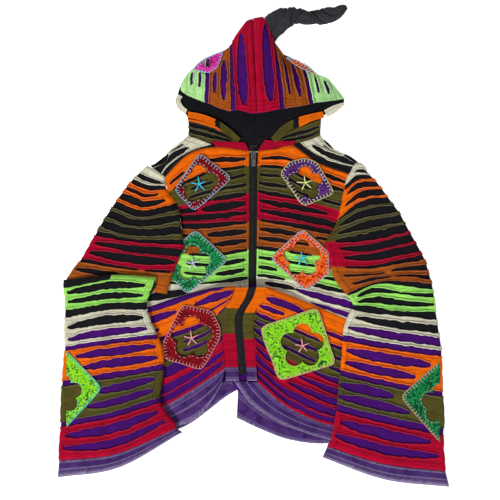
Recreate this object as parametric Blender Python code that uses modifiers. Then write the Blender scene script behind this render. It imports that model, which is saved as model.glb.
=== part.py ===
"""Patchwork zip hoodie with a pointed hood, laid flat on its back.

The cloth is two walls: a plain under-layer and, over it, a skin of narrow strips with the cuts between them
left open. Every panel is a short table of strips in millimetres, from its top to its hem: x runs across the
garment, y towards the hood, and the third number is how far a fold lifts the cloth there.
"""

import math
from collections import namedtuple

import bmesh
import bpy
from mathutils import Vector
from mathutils.bvhtree import BVHTree

MM = 0.001
SEAM = 0.4            # open joint between two pieces that are sewn edge to edge
LAYER = 0.6           # air between a lining and the skin that lies on it
LINING = 1.8          # thickness of the under-layer
SKIN = 1.2            # thickness of the cut strips
PATCH = 1.1           # thickness of an applique patch
BACK_Z = 0.0
FRONT_Z = 2.4         # underside of the front's lining, just clear of the back
SLEEVE_WALL = 1.6
SLEEVE_DEPTH = 5.6    # a flattened sleeve: two walls and a little air
SLEEVE_LIFT = 7.2     # underside of a sleeve where it lies over the body's side
ZIP_HALF = 6.4        # half the width of the zip that shows
PLACKET_LEFT = 22.0   # widths of the two facings beside the zip, below the waist fold
PLACKET_RIGHT = 17.5
LOFT = 0.03           # a skin stands this much further off its lining for each millimetre of fold
SLEEVE_STATIONS = (0.03, 0.22, 0.42, 0.61, 0.80, 0.97)   # places across a flat sleeve, from its outer fold
ARMHOLE_REACH = 0.985  # where a sleeve's walls end at the armhole, just clear of the body
SLEEVE_COLUMNS = tuple(k / 5 for k in range(6))
BACK_COLUMNS = tuple(k / 8 for k in range(9))
HOOD_COLUMNS = tuple(k / 6 for k in range(7))
SHOULDER_COLUMNS = tuple(k / 4 for k in range(5))
PLACKET = 3.0         # the facing beside the zip is the strip and its lining, stitched flat
PATCH_POINTS = 30
PATCH_LOFT = 0.13     # a patch stands this much further off its lining for each millimetre of fold
PATCH_RISE = {"patch_hood_right": 1.6}   # room for a patch on the steepest part of the hood
STEEPEST = 0.4        # a face that is steeper than this is a sliver between two rows
PETAL = 0.13
FLOWER_SHARE = 0.78   # a flower reaches at most this far from its middle to the edge of the patch
TAIL_TIP = 12.0
COIL = 1.6            # how far the zip's coil stands off its tape
ZIP_Z = 3.4
HOOD_EDGE_Z = FRONT_Z + SKIN + LAYER
LEFT, RIGHT = -1, 1

# The gap of a strip is the cut above it: where it starts and ends along the strip, and its width.
Strip = namedtuple("Strip", "cloth line gap")
Station = namedtuple("Station", "x y lift")

COLOURS = {
    "black": (0.012, 0.011, 0.013),
    "purple": (0.075, 0.012, 0.17),
    "orange": (0.90, 0.13, 0.005),
    "olive": (0.075, 0.066, 0.014),
    "red": (0.42, 0.003, 0.03),
    "brown": (0.36, 0.075, 0.008),
    "green": (0.33, 0.74, 0.10),
    "ivory": (0.66, 0.64, 0.49),
    "washed": (0.11, 0.045, 0.22),
    "charcoal": (0.028, 0.030, 0.033),
    "metal": (0.30, 0.30, 0.31),
    "darkred": (0.23, 0.01, 0.015),
    "magenta": (0.60, 0.01, 0.28),
}

# The zip runs straight down to the waist fold, then leans to the left over it.
ZIP_PATH = (
    ((0, 157, 0)),
    ((-0.5, 43.5, 0)),
    ((-2, -65.5, 0)),
    ((-2, -70.5, 15)),
    ((-7.5, -87.5, 15)),
    ((-17, -103, 13)),
    ((-24, -118, 11)),
    ((-25, -135, 9)),
    ((-22, -169, 7)),
    ((-19, -205.5, 6)),
    ((-19, -206.5, 6)),
    ((-18, -228.5, 7)),
)
FOLD_PATH = ZIP_PATH[3:]


def zip_at(y, fold):
    """The middle of the zip at height y: above the waist fold, or below it, where the cloth is lifted."""
    path = FOLD_PATH if fold else ZIP_PATH[:3]
    for (x0, y0, z0), (x1, y1, z1) in zip(path, path[1:]):
        if y >= y1:
            break
    t = min(1.0, max(0.0, (y0 - y) / (y0 - y1)))
    return x0 + (x1 - x0) * t, z0 + (z1 - z0) * t


def at_zip(y, side):
    """The point of an upper front's edge where it meets the zip tape."""
    x, lift = zip_at(y, False)
    return x + side * (ZIP_HALF + SEAM), y, lift


def at_fold(y, side):
    """The point of a lower front's edge, where it meets the facing beside the zip."""
    x, lift = zip_at(y, True)
    facing = PLACKET_LEFT if side == LEFT else PLACKET_RIGHT
    return x + side * (ZIP_HALF + facing + 5 * SEAM), y, lift


def along(line, u):
    """A smooth curve through the stations of a line, u running from 0 to 1."""
    last = len(line) - 1
    t = min(max(u, 0.0), 1.0) * last
    i = min(int(t), last - 1)
    t -= i
    a, b = Vector(line[i]), Vector(line[i + 1])
    before = Vector(line[i - 1]) if i > 0 else a * 2 - b
    after = Vector(line[i + 2]) if i + 2 <= last else b * 2 - a
    m0, m1 = (b - before) / 2, (after - a) / 2
    h = t * t
    k = h * t
    return a * (2 * k - 3 * h + 1) + m0 * (k - 2 * h + t) + b * (3 * h - 2 * k) + m1 * (k - h)


def shifted(line, down):
    return tuple((x, y - down, lift) for x, y, lift in line)


def sewn_to(line, places, down):
    """The edge of a piece that is sewn to a line: the same points, moved off it by the seam."""
    return shifted([tuple(along(line, u)) for u in places], down)


COLUMNS = (0.0, 0.14, 0.33, 0.5, 0.67, 0.84, 0.94, 1.0)

SLEEVE_LEFT_UPPER = (
    ("ivory", ((-183, 132, 0), (-169, 126.5, 0), (-154.5, 116.5, 0)), None),
    ("ivory", ((-191, 125, 0), (-172.5, 115.5, 0), (-154, 109.5, 0)), None),
    ("ivory", ((-201.5, 116.5, 0), (-177.5, 103, 0), (-153.5, 102, 0)), (0.15, 0.8, 4)),
    ("orange", ((-212.5, 104.5, 0), (-181, 92, 0), (-151.5, 95, 0)), (0.12, 0.85, 4.5)),
    ("orange", ((-221, 92.5, 0), (-186, 80, 0), (-147, 86.5, 0)), (0.12, 0.88, 5)),
    ("orange", ((-231, 78, 0), (-183, 63, 0), (-136, 71.5, 0)), (0.1, 0.85, 6)),
    ("olive", ((-242, 62, 0), (-191, 45, 0), (-129, 58.5, 0)), (0.1, 0.9, 7.5)),
    ("olive", ((-252.5, 46, 0), (-196.5, 30, 0), (-124, 35.5, 0)), (0.1, 0.9, 7)),
    ("olive", ((-263.5, 28, 0), (-203, 14.5, 0), (-120.5, 16, 0)), (0.08, 0.9, 8)),
    ("red", ((-271, 13, 0), (-191, 1.5, 0), (-117.5, -4, 0)), (0.1, 0.85, 5)),
    ("red", ((-279.5, -2.5, 0), (-189.5, -15.5, 0), (-126.5, -20.5, 0)), (0.1, 0.9, 6)),
    ("red", ((-288, -18, 0), (-198, -33, 0), (-134, -36.5, 0)), (0.08, 0.9, 7)),
    ("brown", ((-298.5, -30, 0), (-213.5, -45, 0), (-139.5, -52, 0)), (0.1, 0.85, 5)),
    ("brown", ((-310, -47, 0), (-223.5, -52.5, 0), (-143.5, -65.5, 0)), (0.08, 0.5, 6)),
    ("brown", ((-319, -61, 0), (-227, -57.5, 0), (-145.5, -75.5, 0)), None),
)
SLEEVE_LEFT_LOWER = (
    ("green", ((-321.5, -64, 5), (-234, -55, 10), (-165, -59, 9)), None),
    ("green", ((-321.5, -72, 5), (-234, -63, 11), (-166, -67, 10)), None),
    ("green", ((-319, -87.5, 3), (-240.5, -77.5, 7), (-176, -78, 7)), (0.08, 0.9, 7)),
    ("green", ((-319, -104.5, 1), (-244, -93.5, 3.5), (-181, -91, 4)), (0.08, 0.92, 7)),
    ("ivory", ((-320.5, -129, 0), (-252.5, -114, 1), (-180, -111.5, 1.5)), (0.06, 0.92, 8)),
    ("ivory", ((-320.5, -150.5, 0), (-252.5, -137.5, 0), (-174, -130, 0)), (0.08, 0.9, 8.5)),
    ("ivory", ((-319.5, -169, 0), (-244, -155.5, 0), (-166, -148, 0)), (0.1, 0.9, 6)),
    ("orange", ((-320.5, -181, 0), (-240.5, -169, 0), (-160, -159, 0)), (0.15, 0.85, 4.5)),
    ("orange", ((-322, -201.5, 0), (-240.5, -188.5, 0), (-154, -178.5, 0)), (0.15, 0.9, 8)),
    ("orange", ((-324, -223.5, 0), (-235.5, -208, 0), (-152, -196.5, 0)), (0.25, 0.9, 7)),
    ("olive", ((-325.5, -245.5, 0), (-235.5, -228.5, 0), (-153, -213.5, 0)), (0.4, 0.85, 6)),
    ("olive", ((-326.5, -269.5, 0), (-235.5, -252.5, 0), (-155.5, -231, 0)), (0.35, 0.9, 9)),
    ("olive", ((-327, -293, 0), (-240.5, -275.5, 0), (-159, -251, 0)), (0.3, 0.9, 8)),
    ("red", ((-327, -313.5, 0), (-240.5, -296.5, 0), (-158, -269.5, 0)), (0.2, 0.85, 6)),
    ("red", ((-329, -334, 0), (-240.5, -322, 0), (-147, -285, 0)), (0.08, 0.9, 10)),
    ("red", ((-330, -354.5, 0), (-235.5, -345, 0), (-133.5, -300, 0)), (0.06, 0.85, 9)),
    ("red", ((-330, -364.5, 0), (-230.5, -351, 0), (-131, -308.5, 0)), None),
)
CUFF_LEFT = (
    ("purple", ((-332.5, -393.5, 0), (-227, -375, 0), (-120, -315.5, 0)), None),
)
SLEEVE_RIGHT = (
    ("ivory", ((178.5, 140, 0), (186, 137, 0), (192, 132, 0)), None),
    ("ivory", ((167.5, 122.5, 0), (181, 127.5, 0), (197, 126, 0)), None),
    ("ivory", ((158, 106, 0), (176, 117.5, 0), (203, 118, 0)), (0.15, 0.85, 4)),
    ("orange", ((155.5, 90, 0), (177.5, 104.5, 0), (212.5, 105.5, 0)), (0.12, 0.85, 4.5)),
    ("orange", ((154, 72, 0), (183, 90, 0), (222.5, 91, 0)), (0.12, 0.88, 6)),
    ("orange", ((149, 53.5, 0), (183, 74, 0), (232, 77.5, 0)), (0.12, 0.88, 6)),
    ("olive", ((144.5, 36.5, 0), (183, 58.5, 0), (242, 64.5, 0)), (0.12, 0.9, 5)),
    ("olive", ((135, 23, 0), (189.5, 41, 0), (251.5, 49.5, 0)), (0.12, 0.9, 7)),
    ("olive", ((125, 11, 0), (193, 24, 0), (259, 33, 0)), (0.2, 0.9, 7)),
    ("red", ((120.5, 1.5, 0), (198, 6, 0), (268, 17, 0)), (0.25, 0.88, 5)),
    ("red", ((127.5, -12, 0), (201.5, -8.5, 0), (276, 1.5, 0)), (0.28, 0.92, 6)),
    ("red", ((130, -26.5, 0), (206.5, -26.5, 0), (285, -15.5, 0)), (0.25, 0.92, 7)),
    ("brown", ((132.5, -41.5, 0), (211.5, -41, 0), (292.5, -31.5, 0)), (0.22, 0.9, 4.5)),
    ("brown", ((140, -58.5, 0), (218.5, -50, 0), (298.5, -50, 0)), (0.15, 0.9, 4.5)),
    ("brown", ((154, -76.5, 0), (225, -61, 0), (302.5, -65.5, 0)), (0.1, 0.92, 5)),
    ("green", ((162.5, -87.5, 0), (228.5, -73, 0), (305, -78, 0)), (0.1, 0.9, 4.5)),
    ("green", ((167.5, -93.5, 0), (232, -86.5, 0), (307.5, -92.5, 0)), (0.12, 0.92, 5)),
    ("green", ((170, -100.5, 0), (235.5, -103, 0), (308.5, -109, 0)), (0.15, 0.92, 6)),
    ("ivory", ((166, -109.5, 0), (239, -124, 0), (312, -130, 0)), (0.12, 0.92, 8)),
    ("ivory", ((157, -128.5, 0), (235.5, -142, 0), (315.5, -152, 0)), (0.1, 0.92, 7)),
    ("ivory", ((152, -149, 0), (235.5, -162.5, 0), (319, -174, 0)), (0.1, 0.92, 7.5)),
    ("orange", ((151.5, -165, 0), (234, -178.5, 0), (319, -193, 0)), (0.1, 0.85, 5)),
    ("orange", ((150.5, -188, 0), (232, -205, 0), (319.5, -218.5, 0)), (0.1, 0.8, 9)),
    ("orange", ((148, -208, 0), (228.5, -227, 0), (320.5, -243, 0)), (0.1, 0.6, 7)),
    ("olive", ((146, -228, 0), (225, -245.5, 0), (321.5, -266, 0)), (0.1, 0.55, 5)),
    ("olive", ((144.5, -247.5, 0), (223.5, -267, 0), (323, -289, 0)), (0.1, 0.55, 7)),
    ("olive", ((143, -266, 0), (223.5, -288, 0), (323, -308.5, 0)), (0.1, 0.6, 7)),
    ("red", ((140, -284, 0), (223.5, -308.5, 0), (322, -325.5, 0)), (0.1, 0.75, 6)),
    ("red", ((137, -308.5, 0), (223.5, -334, 0), (322, -346, 0)), (0.08, 0.9, 10)),
    ("red", ((132, -328, 0), (222, -358.5, 0), (324.5, -370.5, 0)), (0.06, 0.9, 8)),
    ("red", ((125, -339, 0), (218.5, -368, 0), (325.5, -382.5, 0)), None),
)
CUFF_RIGHT = (
    ("purple", ((116.5, -358, 0), (220, -395, 0), (332.5, -409.5, 0)), None),
)
FRONT_UPPER_LEFT = (
    ("orange", ((-152.5, 114, 0), (-111.5, 154.5, 0), (-64, 167, 0), at_zip(160.5, LEFT)), None),
    ("orange", ((-149, 104.5, 0), (-91, 149, 0), at_zip(153, LEFT)), None),
    ("orange", ((-146, 96, 0), (-86, 132, 0), at_zip(142, LEFT)), (0.6, 0.93, 7)),
    ("olive", ((-142, 86, 0), (-79, 112, 0), at_zip(128.5, LEFT)), (0.3, 0.8, 5)),
    ("olive", ((-137.5, 77.5, 0), (-77.5, 98, 0), at_zip(113, LEFT)), (0.7, 0.93, 4.5)),
    ("olive", ((-132, 69, 0), (-75.5, 83.5, 0), at_zip(97, LEFT)), (0.6, 0.94, 7)),
    ("red", ((-127, 62, 0), (-74, 70.5, 0), at_zip(81.5, LEFT)), (0.5, 0.94, 7)),
    ("red", ((-122.5, 52, 0), (-74, 55, 0), at_zip(64, LEFT)), (0.35, 0.94, 12)),
    ("red", ((-120.5, 40, 0), (-74, 42.5, 0), at_zip(47.5, LEFT)), (0.05, 0.94, 6)),
    ("brown", ((-120.5, 24.5, 0), (-70.5, 27, 0), at_zip(32.5, LEFT)), (0.05, 0.95, 6)),
    ("brown", ((-123, 9.5, 0), (-70.5, 10, 0), at_zip(18, LEFT)), (0.3, 0.94, 5.5)),
    ("brown", ((-145.5, -6, 0), (-70.5, -7.5, 0), at_zip(1.5, LEFT)), (0.55, 0.94, 6)),
    ("green", ((-159, -18, 0), (-74, -24, 0), at_zip(-14.5, LEFT)), (0.3, 0.94, 4.5)),
    ("green", ((-172.5, -30, 0), (-74, -41.5, 0), at_zip(-30.5, LEFT)), (0.6, 0.93, 7)),
    ("green", ((-179.5, -45, 0), (-75.5, -57, 0), at_zip(-47, LEFT)), (0.55, 0.93, 7)),
    ("ivory", ((-184.5, -67, 0), (-82.5, -69.5, 0), at_zip(-61, LEFT)), (0.45, 0.96, 5)),
    ("ivory", ((-188, -89, 0), (-142, -82.5, 0), (-74, -75, 0), at_zip(-70.5, LEFT)), (0.08, 0.4, 7)),
    ("ivory", ((-190.5, -107.5, 0), (-142, -94, 0), (-74, -80, 0), at_zip(-76.5, LEFT)), None),
)
FRONT_UPPER_RIGHT = (
    ("orange", (at_zip(160.5, RIGHT), (38, 164, 0), (67, 170, 0), (109.5, 140, 0), (165, 120, 0)), None),
    ("orange", (at_zip(153, RIGHT), (57, 156.5, 0), (106, 133.5, 0), (161.5, 113, 0)), None),
    ("orange", (at_zip(142, RIGHT), (53.5, 138.5, 0), (103, 118, 0), (155, 99.5, 0)), (0.1, 0.38, 5)),
    ("olive", (at_zip(129, RIGHT), (50, 123, 0), (99.5, 101, 0), (153, 86, 0)), (0.12, 0.36, 5.5)),
    ("olive", (at_zip(115.5, RIGHT), (50, 108, 0), (99.5, 88.5, 0), (151.5, 74, 0)), (0.1, 0.28, 4.5)),
    ("olive", (at_zip(99.5, RIGHT), (53.5, 91, 0), (99.5, 76.5, 0), (149, 63, 0)), (0.1, 0.35, 6)),
    ("red", (at_zip(85, RIGHT), (58.5, 75.5, 0), (104.5, 67, 0), (146.5, 54.5, 0)), (0.08, 0.42, 5)),
    ("red", (at_zip(69, RIGHT), (58.5, 59.5, 0), (104.5, 51, 0), (143.5, 42.5, 0)), (0.08, 0.75, 6)),
    ("red", (at_zip(52.5, RIGHT), (58.5, 43.5, 0), (99.5, 35.5, 0), (135, 27, 0)), (0.1, 0.95, 5.5)),
    ("brown", (at_zip(36.5, RIGHT), (57, 29, 0), (96, 23, 0), (126, 15.5, 0)), (0.1, 0.92, 5)),
    ("brown", (at_zip(21, RIGHT), (55, 16, 0), (92.5, 9.5, 0), (121, 4, 0)), (0.1, 0.95, 5.5)),
    ("brown", (at_zip(5, RIGHT), (53.5, 0, 0), (99.5, -7.5, 0), (143.5, -13, 0)), (0.1, 0.35, 5)),
    ("green", (at_zip(-12, RIGHT), (53.5, -18, 0), (109.5, -26.5, 0), (164, -29, 0)), (0.08, 0.3, 5)),
    ("green", (at_zip(-28, RIGHT), (53.5, -35, 0), (113, -44, 0), (176, -52, 0)), (0.1, 0.3, 6)),
    ("green", (at_zip(-44, RIGHT), (53.5, -52, 0), (113, -62, 0), (181, -74, 0)), (0.1, 0.35, 6)),
    ("ivory", (at_zip(-57, RIGHT), (53.5, -62, 0), (113, -75.5, 0), (183.5, -94.5, 0)), (0.1, 0.36, 4.5)),
    ("ivory", (at_zip(-69, RIGHT), (58.5, -78, 0), (109.5, -97, 0), (186, -118, 0)), (0.12, 0.9, 10)),
    ("ivory", (at_zip(-76.5, RIGHT), (62, -91, 0), (116.5, -108.5, 0), (187, -137, 0)), None),
)
FRONT_LOWER_LEFT = (
    ("orange", ((-190.5, -109, 0), (-142, -95, 3), (-74, -77.5, 9), at_fold(-72, LEFT)), None),
    ("orange", ((-190.5, -117.5, 0), (-142, -104.5, 4), (-74, -85, 10), at_fold(-80, LEFT)), None),
    ("orange", ((-191, -132, 0), (-142, -120.5, 3), (-77.5, -104.5, 9), at_fold(-93.5, LEFT)),
     (0.5, 0.9, 11)),
    ("orange", ((-192, -147, 0), (-145.5, -137, 1), (-81, -123, 7), at_fold(-106, LEFT)), (0.1, 0.9, 7)),
    ("olive", ((-193, -164, 0), (-145.5, -154, 0), (-81, -142, 6), at_fold(-119, LEFT)), (0.15, 0.85, 6)),
    ("olive", ((-193, -183, 0), (-145.5, -171, 0), (-81, -159, 5), at_fold(-133.5, LEFT)), (0.2, 0.85, 5)),
    ("olive", ((-194, -201.5, 0), (-145.5, -188.5, 0), (-81, -174, 4), at_fold(-147, LEFT)),
     (0.2, 0.85, 5)),
    ("red", ((-194, -222, 0), (-145.5, -208, 0), (-81, -189.5, 3), at_fold(-161.5, LEFT)), (0.2, 0.85, 5)),
    ("red", ((-193, -243, 0), (-142, -227, 0), (-79, -204, 2), at_fold(-177.5, LEFT)), (0.15, 0.8, 8)),
    ("red", ((-191, -266, 0), (-140, -246.5, 0), (-82.5, -217, 1), at_fold(-193, LEFT)), (0.15, 0.78, 8)),
    ("red", ((-189.5, -290, 0), (-140, -266, 0), (-82.5, -230.5, 0.5), at_fold(-207.5, LEFT)), None),
)
FRONT_LOWER_RIGHT = (
    ("orange", (at_fold(-72, RIGHT), (62, -87.5, 8), (116.5, -109.5, 3), (188, -138.5, 0)), None),
    ("orange", (at_fold(-80, RIGHT), (62, -94.5, 9), (116.5, -119, 3), (188, -147, 0)), None),
    ("orange", (at_fold(-93.5, RIGHT), (57, -109.5, 9), (116.5, -136, 2), (189.5, -162.5, 0)),
     (0.12, 0.42, 12)),
    ("orange", (at_fold(-106, RIGHT), (53.5, -126.5, 7), (120, -154.5, 1), (189.5, -179.5, 0)),
     (0.08, 0.3, 7)),
    ("olive", (at_fold(-119, RIGHT), (52, -143.5, 6), (123, -174, 0), (190.5, -196.5, 0)), (0.1, 0.9, 5)),
    ("olive", (at_fold(-133.5, RIGHT), (50, -160.5, 5), (123, -193, 0), (191, -215, 0)), (0.1, 0.92, 6)),
    ("olive", (at_fold(-148, RIGHT), (48.5, -178.5, 4), (123, -213.5, 0), (191, -234, 0)), (0.1, 0.92, 6)),
    ("red", (at_fold(-163, RIGHT), (47, -196.5, 3), (123, -232, 0), (191, -252.5, 0)), (0.1, 0.92, 7)),
    ("red", (at_fold(-179.5, RIGHT), (47, -215, 2), (123, -250, 0), (190.5, -269.5, 0)), (0.14, 0.92, 8)),
    ("red", (at_fold(-197, RIGHT), (48.5, -235.5, 1), (123, -269.5, 0), (189.5, -286.5, 0)),
     (0.14, 0.92, 9)),
    ("red", ((7.5, -213.5, 4), (52, -252.5, 0), (113, -285, 0), (188, -303.5, 0)), (0.1, 0.92, 9)),
    ("red", ((7.5, -231, 1), (53.5, -270.5, 0), (113, -299, 0), (186, -315.5, 0)), None),
)

SHOULDER_LEFT = (
    ("ivory", ((-174, 135.5, 0), (-153, 143.5, 0), (-143.5, 160, 0), (-126.5, 172, 0),
               (-111.5, 184.5, 0)), None),
    ("ivory", ((-170, 132, 0), (-149, 144.5, 0), (-137, 158, 0), (-120, 168.5, 0), (-98, 179.5, 0)), None),
    ("ivory", ((-162.5, 124, 0), (-144.5, 140, 0), (-129, 153, 0), (-109.5, 161.5, 0), (-84, 172.5, 0)),
     (0.08, 0.72, 6)),
    ("ivory", ((-157, 119, 0), (-143, 137, 0), (-125, 149.5, 0), (-103, 160, 0), (-74, 169, 0)),
     (0.08, 0.6, 5)),
    ("ivory", sewn_to(FRONT_UPPER_LEFT[0][1], (0, 0.14, 0.33, 0.5, 0.67), -SEAM), None),
)
SHOULDER_RIGHT = (
    ("ivory", ((114, 184.5, 0), (126, 167.5, 0), (145.5, 159, 0), (162.5, 151.5, 0), (177.5, 141, 0)),
     None),
    ("ivory", ((103, 179.5, 0), (120, 163, 0), (140, 154, 0), (159, 145.5, 0), (174, 135, 0)), None),
    ("ivory", ((86, 173.5, 0), (104.5, 157, 0), (128.5, 144.5, 0), (150.5, 135, 0), (170, 126, 0)),
     (0.3, 0.92, 8)),
    ("ivory", ((72, 170.5, 0), (92.5, 154, 0), (115, 141, 0), (140, 131, 0), (166.5, 121.5, 0)),
     (0.15, 0.9, 6)),
    ("ivory", sewn_to(FRONT_UPPER_RIGHT[0][1], (0.5, 0.67, 0.84, 0.94, 1), -SEAM), None),
)
CROWN_LEFT = (
    ("red", ((-1.5, 382.5, 8), (1.5, 305, 26), (6, 223.5, 37)), None),
    ("red", ((-10, 380, 8), (-8.5, 305, 26), (-4, 223.5, 36.5)), None),
    ("red", ((-30.5, 353, 5), (-29, 290, 23), (-26.5, 228.5, 33)), (0.1, 0.88, 14)),
    ("brown", ((-42.5, 330.5, 3), (-41, 281.5, 20), (-40, 227, 29.5)), (0.06, 0.94, 5)),
    ("brown", ((-56, 326.5, 2), (-57, 281.5, 17), (-58.5, 232.5, 25)), (0.3, 0.84, 8)),
    ("brown", ((-69.5, 321.5, 2), (-70.5, 281.5, 13), (-72, 237, 20)), (0.45, 0.75, 5)),
    ("green", ((-82.5, 313.5, 2), (-83.5, 281.5, 10), (-84, 241.5, 15)), (0.1, 0.9, 4.5)),
    ("green", ((-94.5, 305, 1.5), (-96, 281.5, 7), (-98, 247.5, 10)), (0.35, 0.75, 5)),
    ("green", ((-110.5, 292.5, 1), (-112, 276, 4), (-111.5, 254, 5)), (0.3, 0.7, 5)),
    ("green", ((-122.5, 274.5, 0), (-123, 269.5, 0), (-121.5, 262.5, 0)), None),
)
CROWN_RIGHT = (
    ("red", ((-1, 383, 8), (2.5, 305, 26), (6.5, 223.5, 37)), None),
    ("red", ((7, 384.5, 8), (11, 305, 26), (18, 225, 36.5)), None),
    ("red", ((24, 376.5, 5), (33, 305, 23), (41.5, 229.5, 33)), (0.12, 0.86, 12)),
    ("brown", ((33, 344, 3), (47.5, 295, 20), (55, 232, 29.5)), (0.06, 0.94, 5)),
    ("brown", ((52, 319.5, 2), (62, 281.5, 17), (72, 234.5, 25)), (0.2, 0.75, 5.5)),
    ("brown", ((70.5, 314.5, 2), (81, 278, 13), (89, 237.5, 20)), (0.2, 0.76, 6)),
    ("green", ((91, 304.5, 2), (98.5, 273, 10), (103, 240, 15)), (0.1, 0.9, 4.5)),
    ("green", ((108, 289, 1.5), (115, 266, 7), (121.5, 242.5, 10)), (0.3, 0.7, 5)),
    ("green", ((126.5, 281.5, 1), (133.5, 262.5, 4), (140, 245.5, 5)), (0.25, 0.65, 5)),
    ("green", ((143, 262, 0), (147, 256, 0), (153, 248, 0)), None),
)
HOOD_SIDE_LEFT = (
    ("orange", ((-110.5, 215, 0), (-86, 211, 0), (-64, 203.5, 0), (-43.5, 189.5, 0), (-26.5, 177.5, 0)),
     None),
    ("orange", ((-110.5, 211, 0), (-86, 205.5, 0), (-64, 198, 0), (-43.5, 187, 0), (-26.5, 176.5, 0)),
     None),
    ("olive", ((-111, 201.5, 0), (-86, 195.5, 0), (-64, 188.5, 0), (-43.5, 182, 0), (-26.5, 175, 0)),
     (0.04, 0.85, 5)),
    ("olive", ((-111, 191, 0), (-86, 183.5, 0), (-64, 178, 0), (-43.5, 175, 0), (-26.5, 173, 0)),
     (0.1, 0.8, 5)),
    ("olive", ((-110.5, 188, 0), (-86, 178.5, 0), (-64, 173.5, 0), (-43.5, 172, 0), (-26.5, 171.5, 0)),
     None),
)
HOOD_SIDE_RIGHT = (
    ("olive", ((41, 180.5, 0), (55, 191, 0), (74, 200, 0), (94.5, 207.5, 0), (114.5, 215, 0)), None),
    ("olive", ((41, 179, 0), (55, 188, 0), (74, 194.5, 0), (94.5, 200.5, 0), (114.5, 207.5, 0)), None),
    ("olive", ((41, 176, 0), (55, 181.5, 0), (74, 186, 0), (94.5, 191, 0), (113.5, 198, 0)),
     (0.12, 0.92, 5)),
    ("olive", ((41, 173, 0), (55, 174, 0), (74, 177, 0), (94.5, 183, 0), (113, 190.5, 0)), (0.15, 0.95, 5)),
    ("olive", ((41, 171.5, 0), (55, 172, 0), (74, 174, 0), (94.5, 179.5, 0), (113, 187.5, 0)), None),
)

# Plain pieces: rows of stations, with no cuts in them.
HOOD_BACK = (
    ((-110, 186.5, 0), (-74, 171, 0), (-36.5, 162.5, 0), (1, 159.5, 0), (40, 162.5, 0), (77.5, 171, 0),
     (113.5, 186.5, 0)),
    ((-111.5, 215, 0), (1, 200, 0), (115, 216, 0)),
    ((-120.5, 232, 0), (1, 225, 0), (142, 234, 0)),
    ((-129, 251, 0), (1, 251, 0), (154, 247.5, 0)),
    ((-122.5, 274.5, 0), (2.5, 276, 0), (133.5, 271, 0)),
    ((-107, 296, 0), (1, 298.5, 0), (102, 291.5, 0)),
    ((-84, 317, 0), (-4, 315.5, 0), (70.5, 315.5, 0)),
    ((-47, 332.5, 0), (-6, 330.5, 0), (40, 330.5, 0)),
    ((-33, 349.5, 0), (-2.5, 347.5, 0), (33, 347.5, 0)),
    ((-19.5, 366.5, 0), (4, 366.5, 0), (26.5, 366.5, 0)),
    ((-11, 381.5, 0), (4, 383.5, 0), (18, 386, 0)),
)
BACK = (
    ((-173.5, 134, 0), (-142, 158.5, 0), (-109.5, 182, 0), (-53.5, 163, 0), (1, 158.5, 0), (57, 163, 0),
     (112.5, 182, 0), (145.5, 155.5, 0), (176, 139.5, 0)),
    ((-150.5, 114, 0), (156, 113, 0)),
    ((-139.5, 79, 0), (152, 79, 0)),
    ((-126, 58.5, 0), (146.5, 57, 0)),
    ((-120.5, 36.5, 0), (140.5, 38, 0)),
    ((-121.5, 16, 0), (125.5, 14.5, 0)),
    ((-145.5, -6, 0), (143.5, -13, 0)),
    ((-176, -33, 0), (167.5, -33, 0)),
    ((-188, -75.5, 0), (183, -75.5, 0)),
    ((-193, -135, 0), (189.5, -135, 0)),
    ((-194, -198, 0), (191, -198, 0)),
    ((-188, -305, 0), (-138.5, -286.5, 0), (-86, -259, 0), (-43.5, -229.5, 0), (-26.5, -247.5, 0),
     (14.5, -283, 0), (62, -303.5, 0),
     (121.5, -310, 0), (184.5, -302, 0)),
)
BACK_HEM_LEFT = (
    shifted(BACK[-1][:4], SEAM),
    ((-186, -330.5, 0), (-116.5, -307, 0), (-77.5, -280.5, 0), (-50, -259, 0), (-32.5, -242, 0)),
)
BACK_HEM_RIGHT = (
    shifted(BACK[-1][4:], SEAM),
    ((-28.5, -293, 0), (14.5, -313, 0), (62, -330, 0), (121.5, -336.5, 0), (184.5, -324, 0)),
)
HEM_FRONT_LEFT = (
    sewn_to(FRONT_LOWER_LEFT[-1][1], COLUMNS, SEAM),
    ((-188, -320.5, 0), (-122.5, -304.5, 0), (-92.5, -289, 0), (-69, -261, 1), (-53, -232, 4)),
)
HEM_FRONT_RIGHT = (
    sewn_to(FRONT_LOWER_RIGHT[-1][1], COLUMNS, SEAM),
    ((-32.5, -230.5, 0), (-7.5, -265, 0), (33, -294.5, 0), (75.5, -313.5, 0), (126.5, -329, 0),
     (184.5, -342.5, 0)),
)
NECK_BAND_LEFT = (
    ((-70.5, 173, 0), (-50, 170, 0), (-31.5, 169, 0), (-13, 170, 0)),
    sewn_to(FRONT_UPPER_LEFT[0][1], (0.67, 0.84, 0.94, 1), -SEAM),
)
NECK_BAND_RIGHT = (
    ((15.5, 170, 0), (33, 169, 0), (52, 170, 0), (69, 172.5, 0)),
    sewn_to(FRONT_UPPER_RIGHT[0][1], (0, 0.14, 0.33, 0.5), -SEAM),
)
HOOD_EDGE_LEFT = (
    ((-111, 227, 0), (-86, 222, 0), (-62, 212.5, 0), (-41.5, 199, 0), (-22, 181, 0)),
    ((-112, 217, 0), (-87.5, 211.5, 0), (-65.5, 203, 0), (-47, 188.5, 0), (-27, 175, 0)),
)
HOOD_EDGE_RIGHT = (
    ((30, 182, 0), (48.5, 202.5, 0), (72, 215.5, 0), (94.5, 222.5, 0), (117.5, 227, 0)),
    ((37.5, 174, 0), (58.5, 194, 0), (79, 201.5, 0), (99.5, 211, 0), (120, 217, 0)),
)
HOOD_CORNER_LEFT = (
    ((-128, 256.5, 0), (-132.5, 247.5, 0), (-128.5, 234, 0), (-115.5, 223, 0)),
    ((-120.5, 252.5, 0), (-124, 245.5, 0), (-120, 237, 0), (-112.5, 230.5, 0)),
)
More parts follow.
